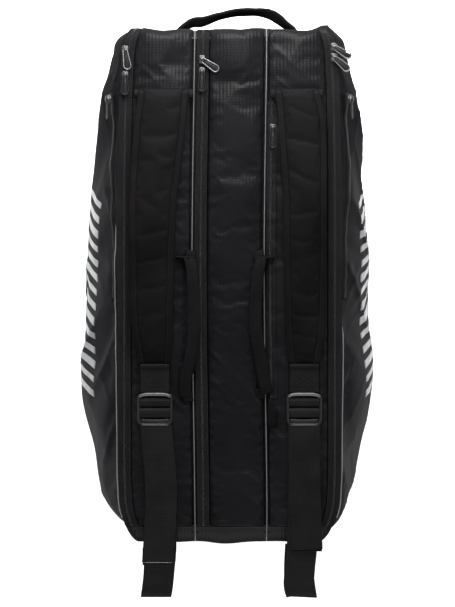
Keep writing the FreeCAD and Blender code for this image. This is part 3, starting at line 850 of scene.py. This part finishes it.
def make_pipings():
    """The two inner pipings on their flanges, and the outer ones on the side panels."""
    y = np.linspace(BOTTOM_END + 0.006, TOP_END - 0.001, 200)
    place = middle_x(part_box("right_inner_piping"))
    for side, sign in SIDES.items():
        x = narrowed(sign * place + seam_line(y), y)
        dim = np.clip((0.30 - y) / 0.1, 0, 1) * np.clip((y + 0.34) / 0.04, 0, 1)
        z = FACE - end_drop(y) + 0.0004 - 0.0012 * dim
        path = np.column_stack([x, puffed(x, y), z])
        piping = tube(f"{side}_inner_piping_cord", path, 0.0008, "piping")
        finish_piece(piping, "root", "piping", f"{side}_inner_piping")
        spots = np.column_stack([x, y, FACE - end_drop(y) - 0.0040])[3:198:6]
        for label, up, width, thickness in (("flange", 0, 0.0100, 0.0010), ("neck", 0.0018, 0.0009, 0.0032)):
            name = f"{side}_inner_piping_{label}"
            sewn(name, spots + [0, 0, up], width, thickness, "root", "piping", material="strap")
        run = np.linspace(BOTTOM_SEAM + 0.012, TOP_SEAM - 0.03, 220)
        shown = 1 / (1 + np.exp((run - (0.09 if sign < 0 else -0.06)) / 0.012))
        lift = -0.0026 + 0.0036 * shown
        outer = on_side(side, 0.012 + 0.01 * np.sin(run * 9 + 1), run, lift[:, None])
        piping = tube(f"{side}_outer_piping_cord", outer, 0.0009, "piping")
        finish_piece(piping, f"{side}_lid", "piping", f"{side}_outer_piping")


TOOTH_RINGS = ((0.0, 0.6), (0.5, 1.0), (1.0, 0.7))  # place along a tooth and size
TOOTH_SECTION = ((-0.5, 0), (0, 1), (0.5, 0), (0, -0.4))


def make_coil(name, line, across, body, pitch=0.0026, half=0.0021, rise=0.0011):
    """Two rows of small rounded teeth along a zip's middle line."""
    travel = travelled(line)
    verts, faces = [], []
    for count, place in enumerate(np.arange(pitch, travel[-1], pitch / 2)):
        centre = spot_on(line, travel, place)
        side = across if count % 2 else -across
        up = np.cross(side, [0, 1, 0])
        up = up if up[2] > 0 or abs(up[2]) < 1e-6 else -up
        start = centre - side * 0.0006
        end = centre + side * half
        base = len(verts)
        for share, size in TOOTH_RINGS:
            point = start + (end - start) * share
            for dy, dz in TOOTH_SECTION:
                verts.append(point + np.array([0, dy * pitch * 0.62 * size, 0]) + up * dz * rise * size)
        for ring in range(2):
            for k in range(4):
                a, b = base + ring * 4 + k, base + ring * 4 + (k + 1) % 4
                faces.append((a, b, b + 4, a + 4))
        faces += [tuple(base + k for k in (3, 2, 1, 0)), tuple(base + 8 + k for k in range(4))]
    coil = make_object(name, verts, faces, "coil")
    return finish_piece(coil, body, "zip_tape")


def make_face_zips():
    """The three long zips of the face: a tape on each side of the coil, with rows of stitches."""
    start, end = BOTTOM_SEAM - 0.002, TOP_END - 0.002
    for name in ("left", "centre", "right"):
        low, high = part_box(f"{name}_zip_tape")
        left = low.x - (0.0042 if name == "left" else 0.0012)
        right = high.x + (0.0042 if name == "right" else 0.0012)
        seams = (name == "centre",) * 2
        points = face_surface(left, right, start, end, 0.0, 14, 260, seams)
        points[..., 2] = FACE - end_drop(points[..., 1]) - 0.0012
        middle = points.shape[0] // 2
        points[middle - 1 : middle + 1, :, 2] -= 0.0008
        tape = sheet_solid(f"{name}_zip_cloth", points, 0.0012, ["tape", "tape"])
        finish_piece(tape, "root", "zip_tape", f"{name}_zip_tape")
        line = (points[middle - 1] + points[middle]) / 2 + [0, 0, 0.0011]
        make_coil(f"{name}_zip_coil", line, RIGHTWARDS, "root")
        for edge, label in ((1, "outer"), (-2, "inner")):
            stitches(f"{name}_zip_{label}_stitch", points[edge] + [0, 0, 0.0004], "root", "zip_tape")


def make_pocket_zip():
    """The face pocket's zip, laid on the right panel beside its seam."""
    low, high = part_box("pocket_zip_tape")
    points, normal = face_grids["right"]
    rows = np.linspace(BOTTOM_SEAM, TOP_END, points.shape[1])
    keep = (rows > low.y) & (rows < high.y)
    width = PANEL_OUTER - PANEL_INNER
    last = int(round((high.x - PANEL_INNER) / width * (points.shape[0] - 1)))
    cloth = (points + normal * 0.0012)[: last + 1, keep]
    cloth[0] -= normal[0, keep] * 0.0006
    middle = cloth[last // 2]
    cloth[..., 2] = np.maximum(cloth[..., 2], middle[:, 2].mean() - 0.0025)
    tape = sheet_solid("pocket_zip_cloth", cloth, 0.0014, ["tape", "tape"])
    finish_piece(tape, "root", "zip_tape", "pocket_zip_tape")
    x, z = middle_x((low, high)), float(middle[:, 2].mean())
    spots = [(x, low.y + 0.0005, z), (x, low.y - 0.016, z + 0.0016), (x, low.y - 0.040, z + 0.0008)]
    sewn("pocket_zip_end_tab", spots, high.x - low.x, WEBBING, "root", "zip_tape", material="strap")
    make_coil("pocket_zip_coil", middle + [0, 0, 0.0004], RIGHTWARDS, "root")


def make_side_zips():
    """The side pocket's zip, which drifts towards the face's edge on its way down."""
    for side in SIDES:
        name = f"{side}_side_zip"
        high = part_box(f"{name}_tape")[1]
        y = np.linspace(-0.02, high.y, 120)
        middle = 0.1 - 0.065 * np.clip((0.276 - y) / 0.24, 0, 1) ** 1.2
        t = middle - 0.019 + 0.038 * np.linspace(0, 1, 8)[:, None]
        tape = side_sheet(f"{name}_cloth", side, on_side(side, t, y, 0.0012), 0.0018, ["tape", "tape"])
        finish_piece(tape, f"{side}_lid", "zip_tape", f"{name}_tape")
        line = on_side(side, middle, y, 0.0014)
        across = on_side(side, middle[60] + 0.02, y[60]) - on_side(side, middle[60] - 0.02, y[60])
        make_coil(f"{name}_coil", line, across / np.linalg.norm(across), f"{side}_lid")


# Each bar: its place along the bag, its length along it, and where it starts and ends round the
# side panel.
PRINT_BARS = tuple(
    (0.132 - 0.0215 * k, 0.0085 + 0.0015 * (k % 3), 0.20 + 0.003 * k, 0.44 + 0.003 * k) for k in range(14)
)


def make_prints():
    """Plain slanted bars printed on each side panel."""
    slant = 0.026 * (np.linspace(-0.5, 0.5, 20)[:, None])
    for side in SIDES:
        for index, (middle, length, start, end) in enumerate(PRINT_BARS):
            y = middle + length * (np.linspace(0, 1, 24) - 0.5)
            t = start + (end - start) * np.linspace(0, 1, 20)[:, None]
            points = on_side(side, t, y + slant, 0.0006)
            bar = side_sheet(f"{side}_print_{index}", side, points, 0.0010, ["print", "print"])
            finish_piece(bar, f"{side}_lid", "piping")


make_pipings()
make_face_zips()
make_pocket_zip()
make_side_zips()
make_prints()

# ------------------------------------------------------------------ sliders and pulls

joints = {joint["name"]: joint for joint in frame["record"]["behaviour"]["joints"]}


def placed_mesh(name, shapes, material, axes, place):
    """One object from (verts, faces) shapes given in a local frame."""
    verts, faces, marks = [], [], []
    for shape_verts, shape_faces, mark in shapes:
        base = len(verts)
        verts += [place + axes[0] * v[0] + axes[1] * v[1] + axes[2] * v[2] for v in shape_verts]
        faces += [tuple(base + i for i in face) for face in shape_faces]
        marks += [mark] * len(shape_faces)
    return make_object(name, verts, faces, material, marks)


def ring_shape(path, profile, mark=0, closed=True):
    """A closed loop of one profile swept along a flat path in the local XY plane."""
    path = np.array(path, float)
    count = len(path)
    ahead = np.roll(path, -1, axis=0) if closed else np.vstack([path[1:], path[-1:]])
    behind = np.roll(path, 1, axis=0) if closed else np.vstack([path[:1], path[:-1]])
    verts, faces = [], []
    for point, direction in zip(path, unit(ahead - behind)):
        out = np.cross(direction, [0, 0, 1])
        verts += [point + out * a + np.array([0, 0, b]) for a, b in profile]
    size = len(profile)
    for i in range(count if closed else count - 1):
        for k in range(size):
            a, b = i * size + k, ((i + 1) % count) * size + k
            c, d = i * size + (k + 1) % size, ((i + 1) % count) * size + (k + 1) % size
            faces.append((a, b, d, c))
    if not closed:
        faces.append(tuple(range(size)))
        faces.append(tuple(range((count - 1) * size + size - 1, (count - 1) * size - 1, -1)))
    return verts, faces, mark


def round_profile(width, height, count=10, power=3.0):
    """A rounded rectangle, as a closed list of points."""
    angles = [2 * math.pi * (k + 0.5) / count for k in range(count)]

    def bulged(value, size):
        return size / 2 * math.copysign(abs(value) ** (2 / power), value)

    return [(bulged(math.cos(angle), width), bulged(math.sin(angle), height)) for angle in angles]


def slab_shape(outline, low, high, round_edge, mark=0):
    """A flat block with rounded edges on a convex outline in the local XY plane."""
    outline = np.array(outline, float)
    centre = outline.mean(axis=0)
    reach = np.linalg.norm(outline - centre, axis=1).mean()
    layers = []
    for angle in (90, 60, 30, 0):
        inset = round_edge * (1 - math.cos(math.radians(angle)))
        layers.append((inset, high - round_edge * (1 - math.sin(math.radians(angle)))))
    layers += [(inset, low + high - level) for inset, level in layers[::-1]]
    verts, faces = [], []
    for inset, level in layers:
        shrink = 1 - inset / reach
        verts += [(*(centre + (p - centre) * shrink), level) for p in outline]
    n = len(outline)
    for i in range(len(layers) - 1):
        for k in range(n):
            a, b = i * n + k, i * n + (k + 1) % n
            faces.append((a, a + n, b + n, b))
    faces.append(tuple(range(n)))
    faces.append(tuple(range((len(layers) - 1) * n + n - 1, (len(layers) - 1) * n - 1, -1)))
    return verts, faces, mark


def stadium(wide_top, wide_end, length, start, count=10):
    """A slender loop outline that hangs from y = start down to y = start - length."""
    top, end = wide_top / 2, wide_end / 2
    turns = [math.pi * k / count for k in range(count + 1)]
    spots = [(top * math.cos(a), start - top + top * math.sin(a), 0) for a in turns]
    return spots + [(-end * math.cos(a), start - length + end - end * math.sin(a), 0) for a in turns]


BRIGHT_PULLS = ("left_upper", "centre_upper", "right_upper", "right_lower")
BODIES = frame["record"]["behaviour"]["bodies"]
ZIP_NAMES = [name.removesuffix("_slider") for name in BODIES if name.endswith("_slider")]


def make_slider_and_pull(name):
    """A zip slider with its bridge, and the pull that hangs in the bridge."""
    flip = joints[f"{name}_pull_flip"]
    hinge = np.array(flip["pos_m"])
    across = -np.array(flip["axis"])
    flat = "side" in name
    plate_x = across if flat else RIGHTWARDS
    upward = unit(np.cross(across, [0, 1, 0])) if flat else np.array([0, 0, 1.0])
    along = np.cross(upward, across)
    plate_y = np.cross(upward, plate_x)
    base = hinge - upward * 0.0042
    plate = [
        (-0.0030, 0.0066), (0.0030, 0.0066), (0.0048, 0.0042), (0.0044, 0.0), (0.0036, -0.0066),
        (-0.0036, -0.0066), (-0.0044, 0.0), (-0.0048, 0.0042),
    ]
    body = [slab_shape(plate, 0.0, 0.0022, 0.0008)]
    for sign in (-1, 1):
        rail = [(sign * 0.0044, 0.0045, 0.0002), (sign * 0.0038, -0.0055, 0.0002)]
        body.append(ring_shape(rail, round_profile(0.0012, 0.0022), closed=False))
    slider = placed_mesh(f"{name}_slider_body", body, ["slider"], (plate_x, plate_y, upward), base)
    finish_piece(slider, f"{name}_slider", "zip_slider", f"{name}_slider")
    turns = [math.pi * k / 12 for k in range(13)]
    arch = [(0.0048 * math.cos(a), 0.0019 + 0.0048 * math.sin(a) ** 0.7, 0) for a in turns]
    loop = [ring_shape(arch, round_profile(0.0013, 0.0026), closed=False)]
    bridge = placed_mesh(f"{name}_slider_bridge", loop, ["slider"], (along, upward, across), base)
    finish_piece(bridge, f"{name}_slider", "zip_slider")
    loop_path = stadium(0.0062, 0.0104, 0.0294, 0.0006)
    inner_path = stadium(0.0035, 0.0072, 0.0235, -0.0052)
    rim_mark = 0 if name in BRIGHT_PULLS else 1
    shapes = [
        ring_shape(loop_path, round_profile(0.0019, 0.0022, 10, 2.4), rim_mark),
        slab_shape([p[:2] for p in inner_path], -0.0006, 0.0006, 0.0004, 1),
    ]
    for k in range(4):
        y = -0.013 - 0.0036 * k
        half = 0.0022 + 0.0003 * k
        ridge = [(-half, y, 0.0008), (half, y, 0.0008)]
        shapes.append(ring_shape(ridge, round_profile(0.0009, 0.0008, 6, 2), 1, False))
    bar = [(-0.0028, 0.0, 0), (0.0028, 0.0, 0)]
    shapes.append(ring_shape(bar, round_profile(0.0016, 0.0016, 8, 2), rim_mark, False))
    axes = (across, along, upward)
    pull = placed_mesh(f"{name}_pull_loop", shapes, ["pull", "pull_core"], axes, hinge)
    finish_piece(pull, f"{name}_pull", "zip_pull", f"{name}_pull")


for zip_name in ZIP_NAMES:
    make_slider_and_pull(zip_name)

# ------------------------------------------------------------------ shoulder straps

# Each strap's edges: place along the bag, then the distances of its inner and outer edge from the
# middle line. Metres.
STRAP_EDGES = {
    "left": (
        (0.286, 0.0600, 0.1330), (0.250, 0.0625, 0.1385), (0.215, 0.0660, 0.1415),
        (0.182, 0.0700, 0.1440), (0.129, 0.0770, 0.1465), (0.041, 0.0815, 0.1465),
        (-0.060, 0.0825, 0.1440), (-0.111, 0.0855, 0.1340),
    ),
    "right": (
        (0.286, 0.0667, 0.1300), (0.250, 0.0700, 0.1405), (0.215, 0.0725, 0.1418),
        (0.182, 0.0750, 0.1424), (0.129, 0.0780, 0.1424), (0.041, 0.0790, 0.1420),
        (-0.060, 0.0810, 0.1400), (-0.111, 0.0860, 0.1320),
    ),
}
STRAP_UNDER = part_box("left_shoulder_strap")[0].z
STRAP_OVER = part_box("left_shoulder_strap")[1].z
BINDING = 0.0095


def strap_edges(side, y):
    """A strap's inner and outer edge at each y, smoothed."""
    table = np.array(STRAP_EDGES[side])[::-1]
    inner = np.interp(y, table[:, 0], table[:, 1])
    outer = np.interp(y, table[:, 0], table[:, 2])
    for _ in range(3):
        inner[1:-1] = (inner[:-2] + 2 * inner[1:-1] + inner[2:]) / 4
        outer[1:-1] = (outer[:-2] + 2 * outer[1:-1] + outer[2:]) / 4
    return inner, outer


def make_strap_pad(side, y, inner, outer):
    """The padded middle of a strap, crowned and dented between its two bindings."""
    sign = SIDES[side]
    share = np.linspace(0, 1, 19)[:, None]
    x = inner + BINDING * 0.8 + (outer - inner - 2 * BINDING * 0.8) * share
    swell = (1 - np.abs(2 * share - 1) ** 2.6) ** 0.5
    ends = np.clip((y - y[0]) / 0.018, 0, 1) ** 0.8 * np.clip((y[-1] - y) / 0.012, 0, 1) ** 0.5
    dents = creases(x, y, 301 if sign > 0 else 351, 0.060, 1.35, 0.35) * 0.0013
    z = STRAP_OVER - 0.0065 + (0.0045 * swell - dents * swell) * ends
    top = np.stack(np.broadcast_arrays(x * sign, y, z), axis=2)
    if sign < 0:
        top = top[:, ::-1]
    top = refine(settle(top, slack=0.005, pressure=1.2, cap=0.004, bending=1.6))
    bottom = top.copy()
    bottom[..., 2] = STRAP_UNDER + 0.0006
    pad = pad_solid(f"{side}_strap_pad", top, bottom, ["strap", "strap"])
    finish_piece(pad, f"{side}_strap", "strap_fabric", f"{side}_shoulder_strap")


def make_strap_tab(side):
    """The webbing tab under a strap's end, with its fold, a painted highlight along the fold, and its
    stitched box.
    """
    body = f"{side}_strap"
    low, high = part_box(f"{side}_strap_tab")
    middle, width = middle_x((low, high)), high.x - low.x
    path = [
        (middle, -0.114, STRAP_OVER - 0.0038), (middle, -0.117, STRAP_OVER - 0.0044),
        (middle, -0.120, high.z + 0.0006), (middle, -0.135, high.z),
        (middle, low.y - 0.0035, high.z - 0.0012),
    ]
    sewn(f"{side}_tab_band", path, width - 0.003, WEBBING, body, "webbing", f"{side}_strap_tab", step=0.003)
    fold = [(-0.1145, 0.0032), (-0.1165, 0.0032), (-0.1185, 0.0042)]
    path = [(middle, y, STRAP_OVER - down) for y, down in fold]
    sewn(f"{side}_tab_fold", path, width - 0.0025, PATCH, body, "webbing", step=0.0015)
    half = width / 2 - 0.002
    spots = [(middle + a * half, -0.1176, STRAP_OVER - 0.0030) for a in np.linspace(-1, 1, 7)]
    # A thin cord in the piping's light grey along the fold: a painted highlight where the fold catches the
    # light.
    finish_piece(tube(f"{side}_tab_fold_painted_highlight", spots, 0.0004, "piping"), body, "webbing")
    half -= 0.005
    corners = [(-half, -0.1260), (half, -0.1260), (half, -0.1455), (-half, -0.1455)]
    square = [(middle + a, b, high.z + 0.0012) for a, b in corners]
    for label, pairs in (("box", ((0, 1), (1, 2), (2, 3), (3, 0))), ("cross", ((0, 2), (1, 3)))):
        for index, (a, b) in enumerate(pairs):
            line = np.linspace(square[a], square[b], 9)
            stitches(f"{side}_tab_{label}_{index}", line, body, "webbing")


def make_strap(side):
    """A shoulder strap: its pad, the bindings along its edges and the tab at its end."""
    sign = SIDES[side]
    table = STRAP_EDGES[side]
    y = np.linspace(table[-1][0] - 0.004, table[0][0] + 0.0022, 110)
    inner, outer = strap_edges(side, y)
    make_strap_pad(side, y, inner, outer)
    level = STRAP_UNDER + 0.0046
    body = f"{side}_strap"
    for label, edge, turn in (("inner", inner, 1), ("outer", outer, -1)):
        height = level + 0.0004 * np.sin(y * 140 + turn)
        path = np.column_stack([sign * (edge + turn * BINDING / 2), y, height])[::6]
        name = f"{body}_{label}"
        sewn(f"{name}_binding", path, BINDING, 0.0062, body, "strap_fabric", material="strap")
        seam = [sign * (edge + turn * (BINDING - 0.0014)), y, np.full_like(y, level + 0.0032)]
        stitches(f"{name}_stitch", np.column_stack(seam), body, "strap_fabric")
    make_strap_tab(side)


def make_lock(side):
    """A ladder lock: a rounded frame, three bars, and the webbing round the bars."""
    low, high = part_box(f"{side}_ladder_lock")
    centre = np.array([middle_x((low, high)), (low.y + high.y) / 2, (low.z + high.z) / 2])
    half_x, half_y = (high.x - low.x) / 2 - 0.002, (high.y - low.y) / 2 - 0.0022
    corner = 0.0075
    path = []
    for cx, cy, start in ((1, 1, 0), (-1, 1, 90), (-1, -1, 180), (1, -1, 270)):
        for k in range(7):
            angle = math.radians(start + 90 * k / 6)
            x = cx * (half_x - corner) + corner * math.cos(angle)
            path.append((x, cy * (half_y - corner) + corner * math.sin(angle), 0))
    shapes = [ring_shape(path, round_profile(0.0042, 0.0064, 12, 2.2), 0)]
    middle_bar = [(-half_x, -0.0005, -0.0012), (half_x, -0.0005, -0.0012)]
    top = half_y - 0.0001
    bow = [(a * (half_x - 0.001), top - 0.0034 * abs(a) ** 5, 0.0002) for a in np.linspace(-1, 1, 15)]
    lip = []
    for a in np.linspace(-1, 1, 13):
        lip.append((a * (half_x - 0.002), -half_y + 0.0034 + 0.0014 * a * a, -0.0006 - 0.0008 * a * a))
    for bar, profile, mark in (
        (middle_bar, (0.0044, 0.0022, 12, 2.2), 0),
        # The top bar takes the lighter copy of the buckle's plastic: a painted highlight.
        (bow, (0.0052, 0.0074, 12, 2.2), 1),
        (lip, (0.0088, 0.0040, 16, 2.6), 2),
    ):
        shapes.append(ring_shape(bar, round_profile(*profile), mark, False))
    kinds = ["buckle", "buckle_rim", "pull_core"]
    lock = placed_mesh(f"{side}_lock_frame", shapes, kinds, np.eye(3), centre)
    finish_piece(lock, f"{side}_buckle", "buckle", f"{side}_ladder_lock")
    for index, (y, reach) in enumerate(((0.0108, 0.0063), (-0.0048, 0.0066))):
        spots = []
        for angle in np.linspace(0, math.pi, 9):
            height = centre[2] - 0.0022 + 0.0042 * math.sin(angle)
            spots.append((centre[0], centre[1] + y + reach * math.cos(angle), height))
        name = f"{side}_lock_webbing_{index}"
        sewn(name, spots, 0.0450, WEBBING, f"{side}_buckle", "webbing", step=0.0012)


def make_tail(side):
    """The free end of the webbing, which lies over the loop and ends in a folded hem."""
    body = f"{side}_buckle"
    low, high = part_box(f"{side}_tail_webbing")
    drifts = (0.001, 0.004, 0.007, 0.009, 0.009, 0.008, 0.006, 0.004)
    if side == "right":
        drifts = (0.0, 0.0, 0.0, 0.0005, 0.001, 0.002, 0.003, 0.004)
    level = (low.z + high.z) / 2
    lifts = (-0.001, 0.0006, -0.0002, 0.0012, 0.0004, 0.0014, 0.0002, 0.0)
    places = np.linspace(high.y + 0.006, low.y, len(lifts))
    path = [(middle_x((low, high)) + dx, y, level + up) for dx, y, up in zip(drifts, places, lifts)]
    width = high.x - low.x
    sewn(f"{side}_tail_band", path, width + 0.001, WEBBING, body, "webbing", f"{side}_tail_webbing")
    end = path[-1][0]
    hem = [(0.022, -0.0016), (0.008, -0.0017), (-0.0012, -0.0010), (-0.0018, 0.0002)]
    hem = [(end, low.y + back, level + up) for back, up in hem]
    sewn(f"{side}_tail_hem", hem, width - 0.0006, WEBBING, body, "webbing", step=0.002)
    half = width / 2 - 0.001
    spots = [(end + a * half * 0.98, low.y + 0.0012, level + 0.0008) for a in np.linspace(-1, 1, 7)]
    # On the left this cord along the hem's fold is in the piping's light grey, a painted highlight; on the
    # right it is plain webbing.
    edge = tube(f"{side}_tail_edge", spots, 0.0004, "piping" if side == "left" else "webbing")
    finish_piece(edge, body, "webbing")
    for index, back in enumerate((0.004, 0.02)):
        ends = [(end + a * half, low.y + back, level + 0.0009) for a in (-1, 1)]
        stitches(f"{side}_tail_stitch_{index}", np.linspace(*ends, 11), body, "webbing")


def make_anchor(side):
    """The webbing from the lock, over the bag's end, round one fold and back to its anchor."""
    low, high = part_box(f"{side}_anchor_webbing")
    middle = middle_x((low, high))
    level = high.z - 0.0009
    if side == "left":
        sway = (0.001, 0.008, 0.009, 0.006, 0.0035, 0.0010, 0.0010, 0.004, 0.005)
    else:
        sway = (0.0, -0.001, -0.003, -0.006, -0.007, -0.003, -0.003, -0.006, -0.004)
    spots = (
        (-0.206, level), (-0.300, level), (-0.378, level - 0.0005), (-0.415, level - 0.009),
        (-0.440, level - 0.018), (low.y + 0.004, level - 0.023), (low.y + 0.0035, level - 0.031),
        (-0.425, level - 0.042), (-0.3835, 0.262),
    )
    path = [(middle + dx, y, z) for dx, (y, z) in zip(sway, spots)]
    turn = (0, 0) if side == "left" else (0, 0, 0, 3, 8, 4, -2, -6, 0)
    band = ribbon(f"{side}_anchor_band", path, high.x - low.x, WEBBING, tilt=turn, step=0.003)
    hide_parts(f"{side}_anchor_webbing")
    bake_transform(band)


def make_small_patches():
    """The sewn tabs under each strap's top, and the anchors of the webbing loops."""
    for side, sign in SIDES.items():
        first = side == "left"
        inner, outer = STRAP_EDGES[side][0][1:]
        middle = sign * (inner + outer) / 2
        spots = [(0.2880, 0.0052), (0.2862, 0.0066), (0.284, 0.0070), (0.270, 0.0070)]
        path = [(middle, y, FACE + up) for y, up in spots]
        base = ribbon(f"{side}_strap_base", path, outer - inner + 0.002, 0.003, "strap", step=0.002)
        finish_piece(base, "root", "strap_fabric", *(["strap_patches"] if first else []))
        for label, place in (("inner", inner - 0.0025), ("outer", outer + 0.0025)):
            spots = [(sign * place, 0.2875, FACE + 0.0055), (sign * place, 0.276, FACE + 0.0068)]
            sewn(f"{side}_strap_{label}_tab", spots, 0.008, 0.0034, "root", "webbing")
        low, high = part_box(f"{side}_anchor_webbing")
        x = middle_x((low, high)) + (0.005 if first else 0)
        path = [(x, BOTTOM_END - out, z) for out, z in ((0.0004, 0.274), (0.0012, 0.262), (0.0004, 0.250))]
        patch = ribbon(f"{side}_anchor_patch", path, high.x - low.x, PATCH)
        finish_piece(patch, "root", "webbing", *(["webbing_anchor_patches"] if first else []))


for strap_side in SIDES:
    make_strap(strap_side)
    make_lock(strap_side)
    make_tail(strap_side)
    make_anchor(strap_side)
make_small_patches()

# ------------------------------------------------------------------ handles

CARRY_PATHS = {
    "left": (
        (-0.0600, 0.0440, 0.3050), (-0.0565, 0.0330, 0.3100), (-0.0535, 0.0120, 0.3135),
        (-0.0520, -0.0300, 0.3150), (-0.0515, -0.0640, 0.3150), (-0.0560, -0.1000, 0.3142),
        (-0.0640, -0.1330, 0.3120), (-0.0650, -0.1490, 0.3090), (-0.0640, -0.1610, 0.3045),
    ),
    "right": (
        (0.0460, 0.0440, 0.3050), (0.0440, 0.0330, 0.3100), (0.0405, 0.0100, 0.3135),
        (0.0375, -0.0300, 0.3150), (0.0385, -0.0640, 0.3150), (0.0440, -0.1000, 0.3142),
        (0.0485, -0.1270, 0.3120), (0.0520, -0.1440, 0.3090), (0.0545, -0.1570, 0.3045),
    ),
}
TOP_HANDLE_LEVEL = 0.190
TOP_HANDLE_SPOTS = (
    (-0.0780, 0.3830), (-0.0740, 0.3900), (-0.0570, 0.4010), (-0.0400, 0.4030), (-0.0175, 0.4105),
    (0.0100, 0.4165), (0.0390, 0.4175), (0.0600, 0.4145), (0.0740, 0.4070), (0.0850, 0.3980),
    (0.0960, 0.3900), (0.1000, 0.3830),
)
TOP_HANDLE_PATH = [(x, y, TOP_HANDLE_LEVEL) for x, y in TOP_HANDLE_SPOTS]
BAND_WIDTH = 0.0185


def make_carry_handle(side):
    """A carry handle that lies on the face, its two patches and the layer under its upper end: a webbing
    layer on the left, a painted shadow on the right.
    """
    body, sign = f"{side}_carry_handle", SIDES[side]
    tilt = (20, 12, 4, 0, 4, 10, 12, 6, 0) if side == "left" else (-24, -14, -4, 0, 0, -6, -10, -4, 0)
    band = ribbon(f"{side}_handle_band", CARRY_PATHS[side], BAND_WIDTH, 0.0036, "handle", tilt, 0.003)
    parent = "root" if side == "left" else "centre_lid"
    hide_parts(f"{side}_carry_handle")
    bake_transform(band)
    for label, end, reach in (("upper", 0, 1), ("lower", -1, -1)):
        x, y, z = CARRY_PATHS[side][end]
        x = min(x, 0.0480)
        spots = [
            (x - 0.003 * sign, y - reach * 0.006, z + 0.0006),
            (x - 0.003 * sign, y + reach * 0.002, z - 0.0006),
            (x - 0.004 * sign, y + reach * 0.008, z - 0.0026),
        ]
        patch = ribbon(f"{side}_handle_{label}_patch", spots, 0.015, 0.0026, "handle", step=0.002)
        finish_piece(patch, parent, "webbing", *([f"{side}_handle_patches"] if end == 0 else []))
    # A dark webbing layer beside the handle's upper end; on the right it is put where the face is only in
    # shade, a painted shadow.
    x, y, z = CARRY_PATHS[side][0]
    inner_end = 0.008 if side == "right" else -0.002
    spots = [(x + inner_end * sign, y - 0.003, z - 0.0004), (x + 0.019 * sign, y - 0.001, z + 0.0010)]
    sewn(f"{side}_handle_under_layer_and_painted_shadow", spots, 0.013, 0.0016, "root", "webbing", step=0.003)


def make_top_handle():
    """The grab handle on the bag's top end, turned on edge, and its two patches."""
    tilt = (70, 62, 40, 58, 70, 66, 62, 66, 48, 40, 62, 70)
    line = smooth_path(TOP_HANDLE_PATH, 0.003)
    rings = []
    for centre, direction, turn in zip(line, unit(np.gradient(line, axis=0)), turns_along(line, tilt)):
        flat = np.cross([0, 0, 1.0], direction)
        across = flat * math.cos(turn) + np.array([0, 0, 1.0]) * math.sin(turn)
        out = np.cross(across, direction)
        profile = round_profile(BAND_WIDTH, 0.0062, 16, 3.2)
        rings.append([centre + across * a + out * b for a, b in profile])
    handle = loft("top_handle_band", rings, "webbing")
    finish_piece(handle, "top_handle", "webbing", "top_handle")
    low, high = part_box("top_handle_patches")
    for index, place in enumerate((low.x + 0.017, high.x - 0.017)):
        middle = (low.z + high.z) / 2
        out = [(-0.0006, low.z + 0.002), (0.0004, middle), (-0.0006, high.z - 0.002)]
        spots = [(place, high.y + y, z) for y, z in out]
        patch = ribbon(f"top_handle_patch_{index}", spots, 0.032, PATCH)
        finish_piece(patch, "root", "webbing", *(["top_handle_patches"] if index == 0 else []))


for handle_side in SIDES:
    make_carry_handle(handle_side)
make_top_handle()

# ------------------------------------------------------------------ floor, light, camera


def make_stage():
    """A white floor, an even white world and six soft lamps."""
    bpy.ops.mesh.primitive_plane_add(size=14, location=(0, 0, 0))
    floor = bpy.context.object
    floor.name = "studio_floor"
    material = bpy.data.materials.new("studio_floor")
    material.use_nodes = True
    shader = material.node_tree.nodes["Principled BSDF"]
    shader.inputs["Base Color"].default_value = rgb(0.95)
    shader.inputs["Roughness"].default_value = 0.9
    floor.data.materials.append(material)
    world = bpy.data.worlds.new("studio_world")
    bpy.context.scene.world = world
    world.use_nodes = True
    background = world.node_tree.nodes["Background"]
    background.inputs["Color"].default_value = (1, 1, 1, 1)
    background.inputs["Strength"].default_value = 0.80
    for name, place, aim, size, power in (
        ("top_light", (0.0, 2.6, 1.5), (0, 0.1, 0.25), 1.4, 170),
        ("near_light", (0.0, 1.15, 1.1), (0, 0.34, 0.28), 0.7, 14),
        ("end_light", (0.0, 0.68, 0.80), (0, 0.36, 0.3), 0.4, 13),
        ("left_light", (-2.6, 0.6, 1.5), (0, 0, 0.2), 1.2, 32),
        ("right_light", (2.6, 0.4, 1.5), (0, 0, 0.2), 1.2, 32),
        ("bottom_light", (0.0, -2.5, 1.3), (0, -0.3, 0.2), 1.2, 80),
    ):
        data = bpy.data.lights.new(name, "AREA")
        data.size = size
        data.energy = power
        lamp = bpy.data.objects.new(name, data)
        lamp.location = place
        lamp.rotation_euler = (Vector(aim) - Vector(place)).to_track_quat("-Z", "Y").to_euler()
        bpy.context.scene.collection.objects.link(lamp)
    bpy.context.scene.view_settings.view_transform = "Standard"


def make_camera():
    """Straight down on the strap face, upright along +Y."""
    data = bpy.data.cameras.new("camera")
    camera = bpy.data.objects.new("camera", data)
    bpy.context.scene.collection.objects.link(camera)
    distance = 3.0
    view_height = 0.8905
    data.sensor_width = 36
    data.lens = data.sensor_width * distance / view_height
    camera.location = (-0.003, -0.0257, FACE + distance)
    bpy.context.scene.camera = camera


make_stage()
make_camera()
